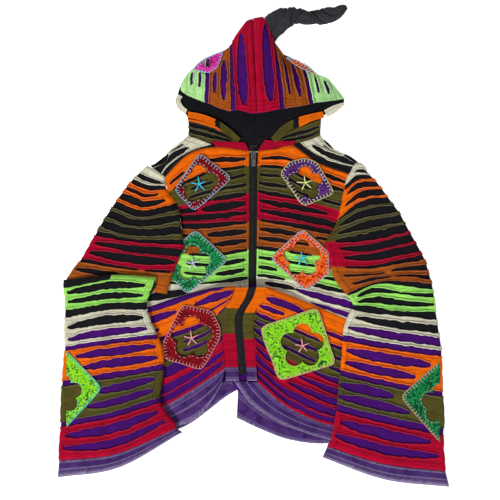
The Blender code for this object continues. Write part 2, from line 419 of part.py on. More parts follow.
HOOD_CORNER_RIGHT = (
    ((149.5, 242, 0), (135, 237, 0), (120, 229.5, 0)),
    ((155.5, 240, 0), (143, 228, 0), (125, 217.5, 0)),
)
NECK_LABEL = (
    ((-7, 171, 0), (10, 171, 0)),
    ((-7, 162, 0), (7, 162, 0)),
)

# The hood ends in a long rolled tail: the middle of each section, its width and its height.
TAIL = (
    ((30.5, 368, 0), 40, 15),
    ((44, 380, 0), 33, 17),
    ((60.5, 387, 0), 26, 17),
    ((77.5, 388, 0), 23, 17),
    ((91, 385.5, 0), 20, 19),
    ((108, 387, 0), 23, 16),
    ((126.5, 391.5, 0), 25, 14),
    ((143.5, 398, 0), 19, 12),
    ((155.5, 405, 0), 9, 8),
)

# Applique patches: the panel they are sewn to, their corners in order, the middle and the radius of the
# flower that is cut out of them, and where the panel's edge ends them, as a point and the side that stays.
Patch = namedtuple("Patch", "name panel cloth corners flower radius ends")
PATCHES = (
    Patch("patch_chest_left", "front_upper_left", "darkred",
          ((-91.5, 157), (-36, 114), (-100, 57.5), (-134, 94.5)), (-92, 103.5), 30, ()),
    Patch("patch_chest_right", "front_upper_right", "purple",
          ((58, 143.5), (106, 144.5), (137.5, 88.5), (84, 66), (44, 121.5)), (87.5, 105.5), 27, ()),
    Patch("patch_waist_left", "front_upper_left", "green",
          ((-99, 27.5), (-42.5, -24.5), (-112.5, -80), (-159, -30)), (-103, -30.5), 28,
          (((-115.5, 1), (1, 0)), ((-115.5, -5), (0.91, -0.41)))),
    Patch("patch_waist_right", "front_upper_right", "orange",
          ((84, 29), (124, -10), (126, -44), (88.5, -75), (27.5, -21)), (81.5, -22), 28, ()),
    Patch("patch_hip_left", "front_lower_left", "darkred",
          ((-120, -99.5), (-69, -110.5), (-56, -137), (-58, -157), (-87.5, -210), (-145.5, -192),
           (-149.5, -166.5)),
          (-104, -156), 33, ()),
    Patch("patch_hip_right", "front_lower_right", "green",
          ((9.5, -137), (108, -104), (136, -200.5), (42.5, -229.5)), (80, -169.5), 35, ()),
    Patch("patch_sleeve_left", "sleeve_left_lower", "green",
          ((-320.5, -174), (-254, -240.5), (-325.5, -317), (-392, -249)), (-322, -251),
          31, (((-314.5, -245.5), (1, 0)),)),
    Patch("patch_sleeve_right", "sleeve_right", "green",
          ((317, -194.5), (390, -266), (322, -341), (246.5, -255)), (317, -268), 32, (((313.5, -245.5),
                                                                                       (-1, 0)),)),
    Patch("patch_hood_left", "hood_crown_left", "magenta",
          ((-49.5, 327), (-58.5, 298.5), (-73, 289), (-102, 296), (-82.5, 313), (-64.5, 322)),
          (-76.5, 307), 6, ()),
    Patch("patch_hood_right", "hood_crown_right", "orange",
          ((52, 316), (69, 313), (84, 305), (98, 293), (103, 287), (75.5, 298.5)), (78, 303.5), 0, ()),
)


# Zip slider and pull
SLIDER_Y = 154
SLIDER_Z = ZIP_Z + LINING + COIL + SEAM
PULL_AXIS_RISE = 1.2
SLIDER_SIZE = Station(8.4, 13.0, 3.0)
BRIDGE_WIDTH = 2.4
BRIDGE_RISE = 3.4
BRIDGE_THICK = 1.2
PULL_THICK = 1.4
PULL_WIDTH = 6.8
PULL_EYE = 7.2
PULL_LENGTH = 21.0

COLLECTION = "patchwork_hoodie"


def clear_scene():
    for item in list(bpy.data.objects):
        bpy.data.objects.remove(item, do_unlink=True)
    for group in list(bpy.data.collections):
        bpy.data.collections.remove(group)
    group = bpy.data.collections.new(COLLECTION)
    bpy.context.scene.collection.children.link(group)
    return group


def material(cloth):
    """A plain shader with the colour of one cloth."""
    found = bpy.data.materials.get(cloth)
    if found:
        return found
    made = bpy.data.materials.new(cloth)
    made.use_nodes = True
    shader = made.node_tree.nodes["Principled BSDF"]
    shader.inputs["Base Color"].default_value = (*COLOURS[cloth], 1.0)
    metal = cloth == "metal"
    shader.inputs["Roughness"].default_value = 0.35 if metal else 0.9
    shader.inputs["Metallic"].default_value = 1.0 if metal else 0.0
    return made


def strips(table):
    return [Strip(cloth, line, gap) for cloth, line, gap in table]


def snapped(columns, gap):
    """The columns with the nearest ones moved onto the two ends of a cut."""
    moved = list(columns)
    ends = []
    for end in gap[:2]:
        inner = range(1, len(columns) - 1)
        k = min((i for i in inner if i not in ends), key=lambda i: abs(columns[i] - end))
        moved[k] = end
        ends.append(k)
    return moved, ends


def grid(columns, rows):
    """A bmesh grid with its points at whole-number places, column by row."""
    mesh = bmesh.new()
    bmesh.ops.create_grid(mesh, x_segments=columns, y_segments=rows, size=0.5)
    for point in mesh.verts:
        point.co = (round((point.co.x + 0.5) * columns), round((0.5 - point.co.y) * rows), 0)
    return mesh


def face_up(mesh):
    """Turns a sheet so that its highest face looks up."""
    mesh.normal_update()
    top = max(mesh.faces, key=lambda face: face.calc_center_median().z)
    if top.normal.z < 0:
        bmesh.ops.reverse_faces(mesh, faces=mesh.faces[:])


def finish(name, mesh, cloth, thickness, group, offset=1.0):
    """Makes the object: millimetres to metres, doubles merged, and a wall of the thickness that is given."""
    bmesh.ops.scale(mesh, vec=(MM, MM, MM), verts=mesh.verts)
    bmesh.ops.remove_doubles(mesh, verts=mesh.verts, dist=0.00001)
    face_up(mesh)
    data = bpy.data.meshes.new(name)
    mesh.to_mesh(data)
    mesh.free()
    made = bpy.data.objects.new(name, data)
    made.data.materials.append(material(cloth))
    group.objects.link(made)
    if thickness:
        wall = made.modifiers.new("wall", "SOLIDIFY")
        wall.thickness = thickness * MM
        wall.offset = offset
        wall.use_even_offset = False
    return made


def panel_lines(table, cut):
    """The rows of a panel: its two edges, and two lines for each cut or one line between two strips."""
    rows = [(table[0].line, table[0].line, None, 0)]
    for above, below in zip(table[1:-1], table[2:-1]):
        if cut and below.gap:
            rows.append((above.line, below.line, below.gap, RIGHT))
            rows.append((above.line, below.line, below.gap, LEFT))
        else:
            rows.append((above.line, below.line, None, 0))
    rows.append((table[-1].line, table[-1].line, None, 0))
    return rows


def row_point(row, columns, k):
    """A point of a row: midway between its two strips, and opened by half the width of the cut."""
    above, below, gap, side = row
    moved, ends = snapped(columns, gap) if gap else (columns, None)
    u = moved[k]
    a, b = along(above, u), along(below, u)
    place = (a + b) / 2
    if gap and ends[0] < k < ends[1]:
        t = (u - gap[0]) / (gap[1] - gap[0])
        apart = a - b
        reach = min(gap[2] / 2 * math.sin(math.pi * t) ** 0.45, apart.length * 0.36)
        place += apart.normalized() * reach * side
    return place


def way_up(mesh):
    """The direction off the cloth at each point."""
    mesh.normal_update()
    for point in mesh.verts:
        point.normal_update()
    return {point: point.normal * (1 if point.normal.z > 0 else -1) for point in mesh.verts}


def sheet(name, table, columns, level, thickness, cloth, group, cut=False):
    """One panel: a lining without its cuts, or a skin with them open, which stands off that lining."""
    rows = panel_lines(table, cut)
    mesh = grid(len(columns) - 1, len(rows) - 1)
    openings = []
    for face in mesh.faces:
        middle = face.calc_center_median()
        r, c = int(middle.y), int(middle.x)
        gap = rows[r][2]
        if gap and rows[r][3] == RIGHT:
            first, last = snapped(columns, gap)[1]
            if first <= c < last:
                openings.append(face)
    for point in mesh.verts:
        place = row_point(rows[round(point.co.y)], columns, round(point.co.x))
        point.co = (place.x, place.y, level + place.z)
    if cut:
        up = way_up(mesh)
        for point in mesh.verts:
            off = LINING + LAYER + LOFT * (point.co.z - level)
            point.co += up[point] * off
        bmesh.ops.delete(mesh, geom=openings, context="FACES_ONLY")
    return finish(name, mesh, cloth, thickness, group)


def plain(name, rows, columns, level, thickness, cloth, group):
    """A piece with no cuts: straight between its rows."""
    mesh = grid(len(columns) - 1, len(rows) - 1)
    for point in mesh.verts:
        place = along(rows[round(point.co.y)], columns[round(point.co.x)])
        point.co = (place.x, place.y, level + place.z)
    return finish(name, mesh, cloth, thickness, group)


def over_body(s):
    """How much of the sleeve's lift applies: all of it near the body, none at the sleeve's outer fold."""
    return min(1.0, max(0.0, (s - 0.03) / 0.39))


def tube(name, lines, bodies, outer_left, open_rows, tucks, cloth, group):
    """A flattened sleeve: its underside, outer fold, upper side and inner fold, ring by ring."""
    across = SLEEVE_STATIONS
    ring = [(s, 0) for s in reversed((across[0], 0.42, 0.70, across[-1]))] + [(0.0, 0.5)]
    ring += [(s, 1) for s in across] + [(1.0, 0.5)]
    ring.append(ring[0])
    mesh = grid(len(ring) - 1, len(lines) - 1)
    armhole = []
    for face in mesh.faces:
        middle = face.calc_center_median()
        if int(middle.y) < open_rows and int(middle.x) >= len(ring) - 3:
            armhole.append(face)
    bmesh.ops.delete(mesh, geom=armhole, context="FACES_ONLY")
    for point in mesh.verts:
        s, side = ring[round(point.co.x)]
        k = round(point.co.y)
        if s == across[-1] and k <= open_rows:
            s = ARMHOLE_REACH
        place = along(lines[k], s if outer_left else 1 - s)
        lift = place.z * (1 if side and k in tucks else side)
        low = bodies[k] * over_body(s)
        drop = tucks.get(k, 0.0) * s * (side < 1)
        point.co = (place.x, place.y - drop, low + SLEEVE_DEPTH * side + lift)
    return finish(name, mesh, cloth, SLEEVE_WALL, group, offset=-1.0)


def sleeve_lines(table):
    """The rings of a sleeve: its first edge, midway between each two strips, and its last edge."""
    lines = [table[0].line]
    for above, below in zip(table[1:-1], table[2:-1]):
        lines.append(tuple(tuple((Vector(a) + Vector(b)) / 2) for a, b in zip(above.line, below.line)))
    lines.append(table[-1].line)
    return lines


def cover(lines, columns, level):
    """The surface a patch lies on: a panel's strips and the gaps between them, taken as one sheet."""
    points, faces = [], []
    wide = len(columns)
    for line in lines:
        for u in columns:
            place = along(line, u)
            points.append((place.x, place.y, level + place.z))
    for r in range(len(lines) - 1):
        for c in range(wide - 1):
            corner = r * wide + c
            faces.append((corner, corner + 1, corner + wide + 1, corner + wide))
    return BVHTree.FromPolygons(points, faces)


def lying_on(surface, x, y):
    """The place of a patch's point on a lining: above its skin, straight off the cloth."""
    hit, normal = surface.ray_cast(Vector((x, y, 500)), Vector((0, 0, -1)))[:2]
    if hit is None:
        hit, normal = surface.find_nearest(Vector((x, y, 0)))[:2]
    up = normal * (1 if normal.z > 0 else -1)
    if up.z < STEEPEST:
        up = Vector((0, 0, 1))
    return hit + up * (LINING + LAYER + SKIN + LAYER + PATCH_LOFT * (hit.z - FRONT_Z))


def outline_points(corners, count):
    """The corners of a patch, with evenly placed points between them."""
    steps = max(2, round(count / len(corners)))
    found = []
    for a, b in zip(corners, corners[1:] + corners[:1]):
        for i in range(steps):
            t = i / steps
            found.append((a[0] + (b[0] - a[0]) * t, a[1] + (b[1] - a[1]) * t))
    return found


def patch(spec, surface, group):
    """A rounded square of cloth with a five-lobed flower cut out of its middle."""
    rim = outline_points(spec.corners, PATCH_POINTS)
    mid_x, mid_y = spec.flower
    steps = 2
    mesh = grid(len(rim), steps)
    for point in mesh.verts:
        k, ring = round(point.co.x) % len(rim), round(point.co.y)
        x, y = rim[k]
        angle = math.atan2(y - mid_y, x - mid_x)
        reach = spec.radius * (1 + PETAL * math.cos(5 * angle))
        reach = min(reach, FLOWER_SHARE * math.hypot(x - mid_x, y - mid_y))
        inner_x, inner_y = mid_x + reach * math.cos(angle), mid_y + reach * math.sin(angle)
        t = ring / steps
        place_x, place_y = x + (inner_x - x) * t, y + (inner_y - y) * t
        point.co = lying_on(surface, place_x, place_y)
        point.co.z += PATCH_RISE.get(spec.name, 0.0)
    bmesh.ops.remove_doubles(mesh, verts=mesh.verts, dist=0.01)
    for place, keep in spec.ends:
        bmesh.ops.bisect_plane(mesh, geom=mesh.verts[:] + mesh.edges[:] + mesh.faces[:], dist=0.001,
                               plane_co=(*place, 0), plane_no=(-keep[0], -keep[1], 0), clear_outer=True)
    return finish(spec.name, mesh, spec.cloth, PATCH, group)


def tail(group):
    """The rolled tail: a hollow cone of cloth that lies on the surface, open where it meets the hood."""
    sides = 8
    mesh = grid(sides, len(TAIL) - 1)
    for point in mesh.verts:
        k, turn = round(point.co.y), round(point.co.x) % sides
        (x, y, _), width, height = TAIL[k]
        ahead = Vector(TAIL[min(k + 1, len(TAIL) - 1)][0]) - Vector(TAIL[max(k - 1, 0)][0])
        across = Vector((-ahead.y, ahead.x, 0)).normalized()
        angle = 2 * math.pi * (turn + 0.5) / sides
        out = across * math.cos(angle) * width / 2
        point.co = (x + out.x, y + out.y, height / 2 * (1 - math.sin(angle) / math.sin(angle_cap(sides))))
    bmesh.ops.remove_doubles(mesh, verts=mesh.verts, dist=0.001)
    rim = [edge for edge in mesh.edges if edge.is_boundary]
    tip = [edge for edge in rim if (edge.verts[0].co.xy - Vector(TAIL[-1][0]).xy).length < TAIL_TIP]
    bmesh.ops.edgeloop_fill(mesh, edges=tip)
    return finish("hood_tail", mesh, "charcoal", SLEEVE_WALL, group, offset=-1.0)


def angle_cap(sides):
    """The angle of a section's highest corner, which reaches the section's full height."""
    return math.pi * (2 * (sides // 4) - 1) / sides


def facing(side, width, first, last):
    """The facing beside the zip below the waist fold: rows across it, at the places of the zip's own path."""
    rows = []
    for x, y, lift in FOLD_PATH[first:last]:
        inner, outer = x + side * (ZIP_HALF + SEAM), x + side * (ZIP_HALF + SEAM + width)
        rows.append(tuple((place, y, lift) for place in sorted((inner, outer))))
    return rows


def zip_strip(name, path, group):
    """Zip tape with its raised coil down the middle."""
    across = ((-ZIP_HALF, 0.0), (-2.2, 0.3), (0.0, COIL), (2.2, 0.3), (ZIP_HALF, 0.0))
    mesh = grid(len(across) - 1, len(path) - 1)
    for point in mesh.verts:
        x, y, lift = path[round(point.co.y)]
        aside, rise = across[round(point.co.x)]
        point.co = (x + aside, y, ZIP_Z + lift + rise)
    return finish(name, mesh, "black", LINING, group)


def block(size, middle):
    """A box as a mesh, for the small metal pieces."""
    mesh = bmesh.new()
    bmesh.ops.create_cube(mesh, size=1.0)
    bmesh.ops.scale(mesh, vec=size, verts=mesh.verts)
    bmesh.ops.translate(mesh, vec=middle, verts=mesh.verts)
    return mesh


def joined(name, first, others, operation, cutters, group):
    """A metal piece made of boxes, joined or cut by the others."""
    made = finish(name, first, "metal", 0, group)
    for i, (mesh, how) in enumerate(zip(others, operation)):
        tool = finish(f"{name}_tool_{i}", mesh, "metal", 0, cutters)
        tool.hide_render = True
        tool.display_type = "WIRE"
        step = made.modifiers.new(how.lower(), "BOOLEAN")
        step.operation = how
        step.solver = "EXACT"
        step.object = tool
    return made


def zip_slider(group, cutters):
    """The slider: a body with a bridge over it, which traps the pull's bar."""
    top = SLIDER_Z + SLIDER_SIZE.lift
    high = BRIDGE_RISE + BRIDGE_THICK
    body = block(tuple(SLIDER_SIZE), (0, SLIDER_Y, SLIDER_Z + SLIDER_SIZE.lift / 2))
    bridge = block((BRIDGE_WIDTH, SLIDER_SIZE.y - 1.0, high + 1.0), (0, SLIDER_Y, top + (high - 1.0) / 2))
    window = block((BRIDGE_WIDTH + 2, SLIDER_SIZE.y - 3.4, BRIDGE_RISE), (0, SLIDER_Y, top + BRIDGE_RISE / 2))
    return joined("zip_slider", body, (bridge, window), ("UNION", "DIFFERENCE"), cutters, group)


def zip_pull(group, cutters):
    """The pull: a flat tab with an eye, whose end bar turns under the bridge."""
    level = SLIDER_Z + SLIDER_SIZE.lift + PULL_AXIS_RISE
    half = PULL_THICK / 2
    tab = block((PULL_WIDTH, PULL_LENGTH, PULL_THICK), (0, SLIDER_Y + half - PULL_LENGTH / 2, level))
    eye_long = PULL_EYE - half
    eye = block((PULL_WIDTH - 2.8, eye_long, PULL_THICK * 2), (0, SLIDER_Y - half - eye_long / 2, level))
    return joined("zip_pull", tab, (eye,), ("DIFFERENCE",), cutters, group)


def two_layers(name, table, level, cloth, group):
    """A panel of the garment: its lining, and the skin with the cuts open."""
    rows = strips(table)
    columns = SHOULDER_COLUMNS if name.startswith("shoulder") else COLUMNS
    sheet(name, rows, columns, level, LINING, cloth, group)
    sheet("cut_" + name, rows, columns, level, SKIN, rows[1].cloth, group, cut=True)
    return cover([row.line for row in rows], columns, level)


def sleeve(name, table, bodies, outer_left, open_rows, tucks, cloth, group):
    """A sleeve: the flattened lining tube, and the cut skin on its upper side."""
    rows = strips(table)
    lines = sleeve_lines(rows)
    tube(name, lines, bodies, outer_left, open_rows, tucks, cloth, group)
    raised = []
    for k, (row, body) in enumerate(zip(rows, spread(bodies, len(rows)))):
        line = []
        for s in SLEEVE_STATIONS if outer_left else reversed(SLEEVE_STATIONS):
            reach = ARMHOLE_REACH if k <= open_rows and s == SLEEVE_STATIONS[-1] else s
            place = along(row.line, reach if outer_left else 1 - reach)
            line.append((place.x, place.y, place.z + body * over_body(s)))
        raised.append(Strip(row.cloth, tuple(line), row.gap))
    level = SLEEVE_DEPTH - LINING
    sheet("cut_" + name, raised, SLEEVE_COLUMNS, level, SKIN, rows[2].cloth, group, cut=True)
    return cover([row.line for row in raised], SLEEVE_COLUMNS, level)


def spread(values, count):
    """Ring values given to strips: each strip lies midway between two rings."""
    found = []
    for k in range(count):
        low = max(0, min(k - 1, len(values) - 1))
        high = min(k, len(values) - 1)
        found.append((values[low] + values[high]) / 2)
    return found


def cuff(name, first, last, outer_left, group):
    """The hem of a sleeve: a band on from the sleeve's last ring."""
    start = shifted(first, SEAM)
    middle = tuple(tuple((Vector(a) + Vector(b)) / 2) for a, b in zip(start, last))
    return tube(name, [start, middle, last], [SLEEVE_LIFT] * 3, outer_left, 0, {}, "washed", group)


def evenly(line):
    """Columns that meet each station of a line."""
    last = max(2, len(line) - 1)
    return tuple(k / last for k in range(last + 1))


def build():
    group = clear_scene()
    cutters = bpy.data.collections.new("cutters")
    bpy.context.scene.collection.children.link(cutters)
    covers = {}

    plain("back", BACK, BACK_COLUMNS, BACK_Z, LINING, "black", group)
    for name, rows in (("back_hem_left", BACK_HEM_LEFT), ("back_hem_right", BACK_HEM_RIGHT)):
        plain(name, rows, evenly(rows[0]), BACK_Z, LINING, "washed", group)

    for name, table, cloth in (
        ("front_upper_left", FRONT_UPPER_LEFT, "black"),
        ("front_upper_right", FRONT_UPPER_RIGHT, "black"),
        ("front_lower_left", FRONT_LOWER_LEFT, "purple"),
        ("front_lower_right", FRONT_LOWER_RIGHT, "purple"),
        ("shoulder_left", SHOULDER_LEFT, "black"),
        ("shoulder_right", SHOULDER_RIGHT, "black"),
        ("hood_crown_left", CROWN_LEFT, "purple"),
        ("hood_crown_right", CROWN_RIGHT, "purple"),
    ):
        covers[name] = two_layers(name, table, FRONT_Z, cloth, group)

    upper = [0.0] * 5 + [1.0, 4.5, SLEEVE_LIFT] + [SLEEVE_LIFT] * 6
    sleeve("sleeve_left_upper", SLEEVE_LEFT_UPPER, upper, True, 6, {}, "black", group)
    lower = [SLEEVE_LIFT] * (len(SLEEVE_LEFT_LOWER) - 1)
    tucks = {0: 18.0, 1: 11.0, 2: 4.0}
    covers["sleeve_left_lower"] = sleeve("sleeve_left_lower", SLEEVE_LEFT_LOWER, lower, True, 0, tucks,
                                         "black", group)
    right = [0.0] * 5 + [1.0, 3.5, 6.2] + [SLEEVE_LIFT] * (len(SLEEVE_RIGHT) - 9)
    covers["sleeve_right"] = sleeve("sleeve_right", SLEEVE_RIGHT, right, False, 6, {}, "black", group)
    cuff("cuff_left", SLEEVE_LEFT_LOWER[-1][1], CUFF_LEFT[0][1], True, group)
    cuff("cuff_right", SLEEVE_RIGHT[-1][1], CUFF_RIGHT[0][1], False, group)

    for name, rows, level, thickness, cloth in (
        ("hem_front_left", HEM_FRONT_LEFT, FRONT_Z, LINING, "washed"),
        ("hem_front_right", HEM_FRONT_RIGHT, FRONT_Z, LINING, "washed"),
        ("placket_left", facing(LEFT, PLACKET_LEFT, 0, 7), FRONT_Z, PLACKET, "orange"),
        ("placket_right", facing(RIGHT, PLACKET_RIGHT, 0, 7), FRONT_Z, PLACKET, "orange"),
        ("placket_hem_left", facing(LEFT, PLACKET_LEFT, 7, 9), FRONT_Z, PLACKET, "washed"),
        ("placket_hem_right", facing(RIGHT, PLACKET_RIGHT, 7, 9), FRONT_Z, PLACKET, "washed"),
        ("neck_band_left", NECK_BAND_LEFT, FRONT_Z, LINING, "red"),
        ("neck_band_right", NECK_BAND_RIGHT, FRONT_Z, LINING, "red"),
        ("hood_corner_left", HOOD_CORNER_LEFT, FRONT_Z, LINING, "ivory"),
        ("hood_corner_right", HOOD_CORNER_RIGHT, FRONT_Z, LINING, "ivory"),
        ("hood_edge_left", HOOD_EDGE_LEFT, HOOD_EDGE_Z, LINING, "orange"),
        ("hood_edge_right", HOOD_EDGE_RIGHT, HOOD_EDGE_Z, LINING, "orange"),
        ("neck_label", NECK_LABEL, FRONT_Z, 0.8, "black"),
    ):
        plain(name, rows, evenly(rows[0]), level, thickness, cloth, group)
    plain("hood_back", HOOD_BACK, HOOD_COLUMNS, BACK_Z, LINING, "black", group)
    sheet("hood_side_left", strips(HOOD_SIDE_LEFT), COLUMNS, BACK_Z, SKIN, "olive", group, cut=True)
    sheet("hood_side_right", strips(HOOD_SIDE_RIGHT), COLUMNS, BACK_Z, SKIN, "olive", group, cut=True)
    tail(group)

    zip_strip("zip_upper", ZIP_PATH[:3], group)
    zip_strip("zip_lower", FOLD_PATH, group)
    zip_slider(group, cutters)
    zip_pull(group, cutters)
    for spec in PATCHES:
        patch(spec, covers[spec.panel], group)


build()
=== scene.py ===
# %% [markdown]
# A patchwork hoodie, laid flat on its back. The real one is cut and sewn from two layers of cotton jersey:
# a plain under-layer, and over it a coloured layer that is stitched down in rows and then slit between the
# rows, so that its cut edges roll up and the under-layer shows. This lesson builds it piece by piece.
#
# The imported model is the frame. Each piece below is placed in its millimetres and stands for one node.

# %% Load the frame
import math
from collections import namedtuple

import bmesh
import bpy
from mathutils import Matrix, Vector, noise
from mathutils.bvhtree import BVHTree


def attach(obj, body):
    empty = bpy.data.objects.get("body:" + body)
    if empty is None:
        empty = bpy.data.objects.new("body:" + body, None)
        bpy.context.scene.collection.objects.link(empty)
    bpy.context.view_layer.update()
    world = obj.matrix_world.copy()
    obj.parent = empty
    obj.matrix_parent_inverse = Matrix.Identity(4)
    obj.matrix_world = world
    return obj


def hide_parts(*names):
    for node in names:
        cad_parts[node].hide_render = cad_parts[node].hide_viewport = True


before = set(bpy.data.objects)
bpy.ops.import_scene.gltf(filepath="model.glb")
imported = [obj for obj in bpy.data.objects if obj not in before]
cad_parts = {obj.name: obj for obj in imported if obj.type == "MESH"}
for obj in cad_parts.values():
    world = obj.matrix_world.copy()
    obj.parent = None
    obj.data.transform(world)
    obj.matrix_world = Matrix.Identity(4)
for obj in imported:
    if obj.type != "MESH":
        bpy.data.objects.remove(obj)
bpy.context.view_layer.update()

# %% [markdown]
# A maker works in millimetres, so the tables do too, and only the finished mesh is scaled to metres.
# The garment lies in layers: the back on the floor, the front's lining on it, then the cut skin and the
# applique patches. Each layer has a named height, so that no two of them touch.

# %% Sizes of the layers
MM = 0.001
SEAM = 0.4             # the gap that a seam keeps between two pieces
FRONT_Z = 2.4          # underside of the front's lining
BACK_Z = 0.2           # underside of the pieces that lie on the floor
LINING = 1.6           # thickness of the under-layer
SKIN = 0.7             # thickness of the slit jersey, which rolls up along each cut
SKIN_OFF = LINING + 0.15
ROLL = 1.3             # radius of a rolled edge
PUFF = 0.9             # how far the cloth stands up between two rows of stitching that isn't slit
PATCH_OFF = 5.1        # a patch's underside, off the lining's underside
SLEEVE_PATCH_OFF = 1.9  # the same on a sleeve, off its upper side
PATCH = 0.9
SLEEVE_DEPTH = 5.6
SLEEVE_LIFT = 7.2      # a sleeve lies over the body's side, so its underside is up here
FOLD_S = 0.03          # the share of a sleeve's width that rounds its fold
TUBE_WALL = 1.2
ZIP_HALF = 6.4
FACING_GAP = 0.15
LEFT, RIGHT = -1, 1
FACINGS = {LEFT: 22.0, RIGHT: 17.5}    # widths of the facings beside the zip
WELD = 0.004           # points this near to each other are one


def read_numbers(table):
    """Reads rows of numbers, one row a line."""
    return [tuple(float(word) for word in row.split()) for row in table.strip().splitlines()]


# The zip runs straight down to the waist fold, then leans to the left over it: x, y and lift.
ZIP_PATH = read_numbers("""
0 157 0
-0.5 43.5 0
-2 -65.5 0
-2 -70.5 15
-7.5 -87.5 15
-17 -103 13
-24 -118 11
-25 -135 9
-22 -169 7
-19 -205.5 6
-19 -206.5 6
-18 -228.5 7
""")
FOLD_PATH = ZIP_PATH[3:]
print("zip from", ZIP_PATH[0][:2], "to", ZIP_PATH[-1][:2])

# %% [markdown]
# A line of cloth is a few stations with a smooth curve through them. Where a panel meets the zip, its
# station isn't measured but taken from the zip's own path, so the seam stays true when the zip moves.

# %% Lines through stations
def zip_at(y, fold):
    """The middle of the zip at height y: above the waist fold, or below it, where the cloth is lifted."""
    path = FOLD_PATH if fold else ZIP_PATH[:3]
    for (x0, y0, z0), (x1, y1, z1) in zip(path, path[1:]):
        if y >= y1:
            break
    t = min(1.0, max(0.0, (y0 - y) / (y0 - y1)))
    return x0 + (x1 - x0) * t, z0 + (z1 - z0) * t


def at_zip(y, side):
    """The point of an upper front's edge, where it meets the zip tape."""
    x, lift = zip_at(y, False)
    return x + side * (ZIP_HALF + SEAM), y, lift


def at_fold(y, side):
    """The point of a lower front's edge, where it meets the facing beside the zip."""
    x, lift = zip_at(y, True)
    return x + side * (ZIP_HALF + SEAM + FACINGS[side] + FACING_GAP), y, lift


def along(line, u):
    """A smooth curve through the stations of a line, u running from 0 to 1."""
    last = len(line) - 1
    t = min(max(u, 0.0), 1.0) * last
    i = min(int(t), last - 1)
    t -= i
    a, b = Vector(line[i]), Vector(line[i + 1])
    before = Vector(line[i - 1]) if i > 0 else a * 2 - b
    after = Vector(line[i + 2]) if i + 2 <= last else b * 2 - a
    m0, m1 = (b - before) / 2, (after - a) / 2
    h = t * t
    k = h * t
    return a * (2 * k - 3 * h + 1) + m0 * (k - 2 * h + t) + b * (3 * h - 2 * k) + m1 * (k - h)


def shifted(line, down):
    return tuple((x, y - down, lift) for x, y, lift in line)


def sewn_to(line, places, down):
    """The edge of a piece that is sewn to a line: the same points, moved off it by the seam."""
    return shifted([tuple(along(line, u)) for u in places], down)


def read_line(text, edge=None, side=0):
    """Reads stations: "x,y" or "x,y,lift", or "zip" and a height for the point on the zip's edge there."""
    found = []
    for word in text.split():
        if word.startswith("zip"):
            found.append(edge(float(word[3:]), side))
        else:
            found.append(tuple(float(part) for part in (word + ",0").split(",")[:3]))
    return tuple(found)


def read_lines(table):
    return tuple(read_line(row) for row in table.strip().splitlines())


Strip = namedtuple("Strip", "cloth line slits")


def read_strips(table, edge=None, side=0):
    """Reads a panel: a line of text for each strip, with its slits after the bar."""
    found = []
    for row in table.strip().splitlines():
        strip, _, slits = row.partition("|")
        cloth, stations = strip.split(maxsplit=1)
        slits = tuple(tuple(float(part) for part in slit.split(",")) for slit in slits.split())
        found.append(Strip(cloth, read_line(stations, edge, side), slits))
    return found


print("the zip's edge at the neck", at_zip(150, RIGHT))

# %% [markdown]
# Each panel is a table of strips, from its top to its hem. A row names the cloth, gives the strip's middle
# line as stations, and after the bar it lists the slits above the strip: where each starts and ends along
# it, as shares of its length, and how wide it gapes. A slit that runs from below 0 to past 1 parts two
# bands of colour from edge to edge. The first and the last row are the panel's own edges.

# %% The sleeves' strips
SLEEVE_LEFT_UPPER = read_strips("""
ivory -180,134.5 -168,129.5 -154,119.5
ivory -191,125 -172.5,115.5 -154,109.5
ivory -201,116.5 -179,106 -153.5,102 | -0.5,0.94,9
orange -212,104 -181,91.5 -151.5,94.5 | -1,2,8
orange -220,93 -184,78.5 -147,85.5 | -0.5,0.8,6
orange -231,78.5 -185,62.5 -136,73 | -0.5,0.88,12
olive -242,62 -191,45.5 -129,58 | -1,2,12
olive -252.5,46 -196.5,30 -123,35.5 | -1,2,12.5
olive -263.5,28 -203,14.5 -120.5,16 | -1,2,12.5
red -271,13 -191,1.5 -117.5,-4 | -1,2,8
red -279.5,-2.5 -189.5,-15.5 -126.5,-20.5 | 0.07,1.5,14
red -288,-18 -198,-33 -134,-36.5 | 0.06,0.95,15.5
brown -298.5,-31 -213.5,-46 -139.5,-53 | -0.5,0.55,7 0.68,0.95,5
brown -310,-47 -221,-59 -144,-68 | 0.05,0.6,11
brown -319,-62 -215,-71 -147,-82
""")
SLEEVE_LEFT_LOWER = read_strips("""
black -321.5,-62,5 -234,-53.5,10 -165,-57,9
green -321.5,-72.5,5 -236,-56.5,10.5 -165.5,-58.5,9.5
green -319,-88,3 -240,-76,7 -173,-77,7 | 0.06,0.88,13
green -319,-104,1 -243,-92.5,3.5 -180,-91,4 | 0.06,0.9,11
ivory -320.5,-129 -252.5,-114,1 -180,-111.5,1.5 | -1,2,13
ivory -320.5,-150.5 -252.5,-137.5 -174,-130 | 0.08,0.91,15
ivory -319.5,-169 -244,-155.5 -166,-148 | 0.07,0.91,13.5
orange -320.5,-181 -240.5,-169 -160,-159 | -1,2,8
orange -322,-201.5 -240.5,-188.5 -154,-178.5 | 0.16,0.92,14
orange -324,-223.5 -235.5,-208 -152,-196.5 | 0.22,0.92,14.5
olive -325.5,-245.5 -235.5,-228.5 -153,-213.5 | -1,2,10
olive -326.5,-269.5 -235.5,-252.5 -155.5,-231 | 0.34,0.9,13.5
olive -327,-293 -240.5,-275.5 -159,-251 | 0.29,0.9,14
red -327,-313.5 -240.5,-296.5 -158,-269.5 | -1,2,9
red -329,-334 -240.5,-322 -147,-285 | 0.09,0.92,15.5
red -330,-354.5 -235.5,-345 -133.5,-300 | 0.06,0.92,13.5
red -330,-364.5 -230.5,-351 -131,-308.5
""")
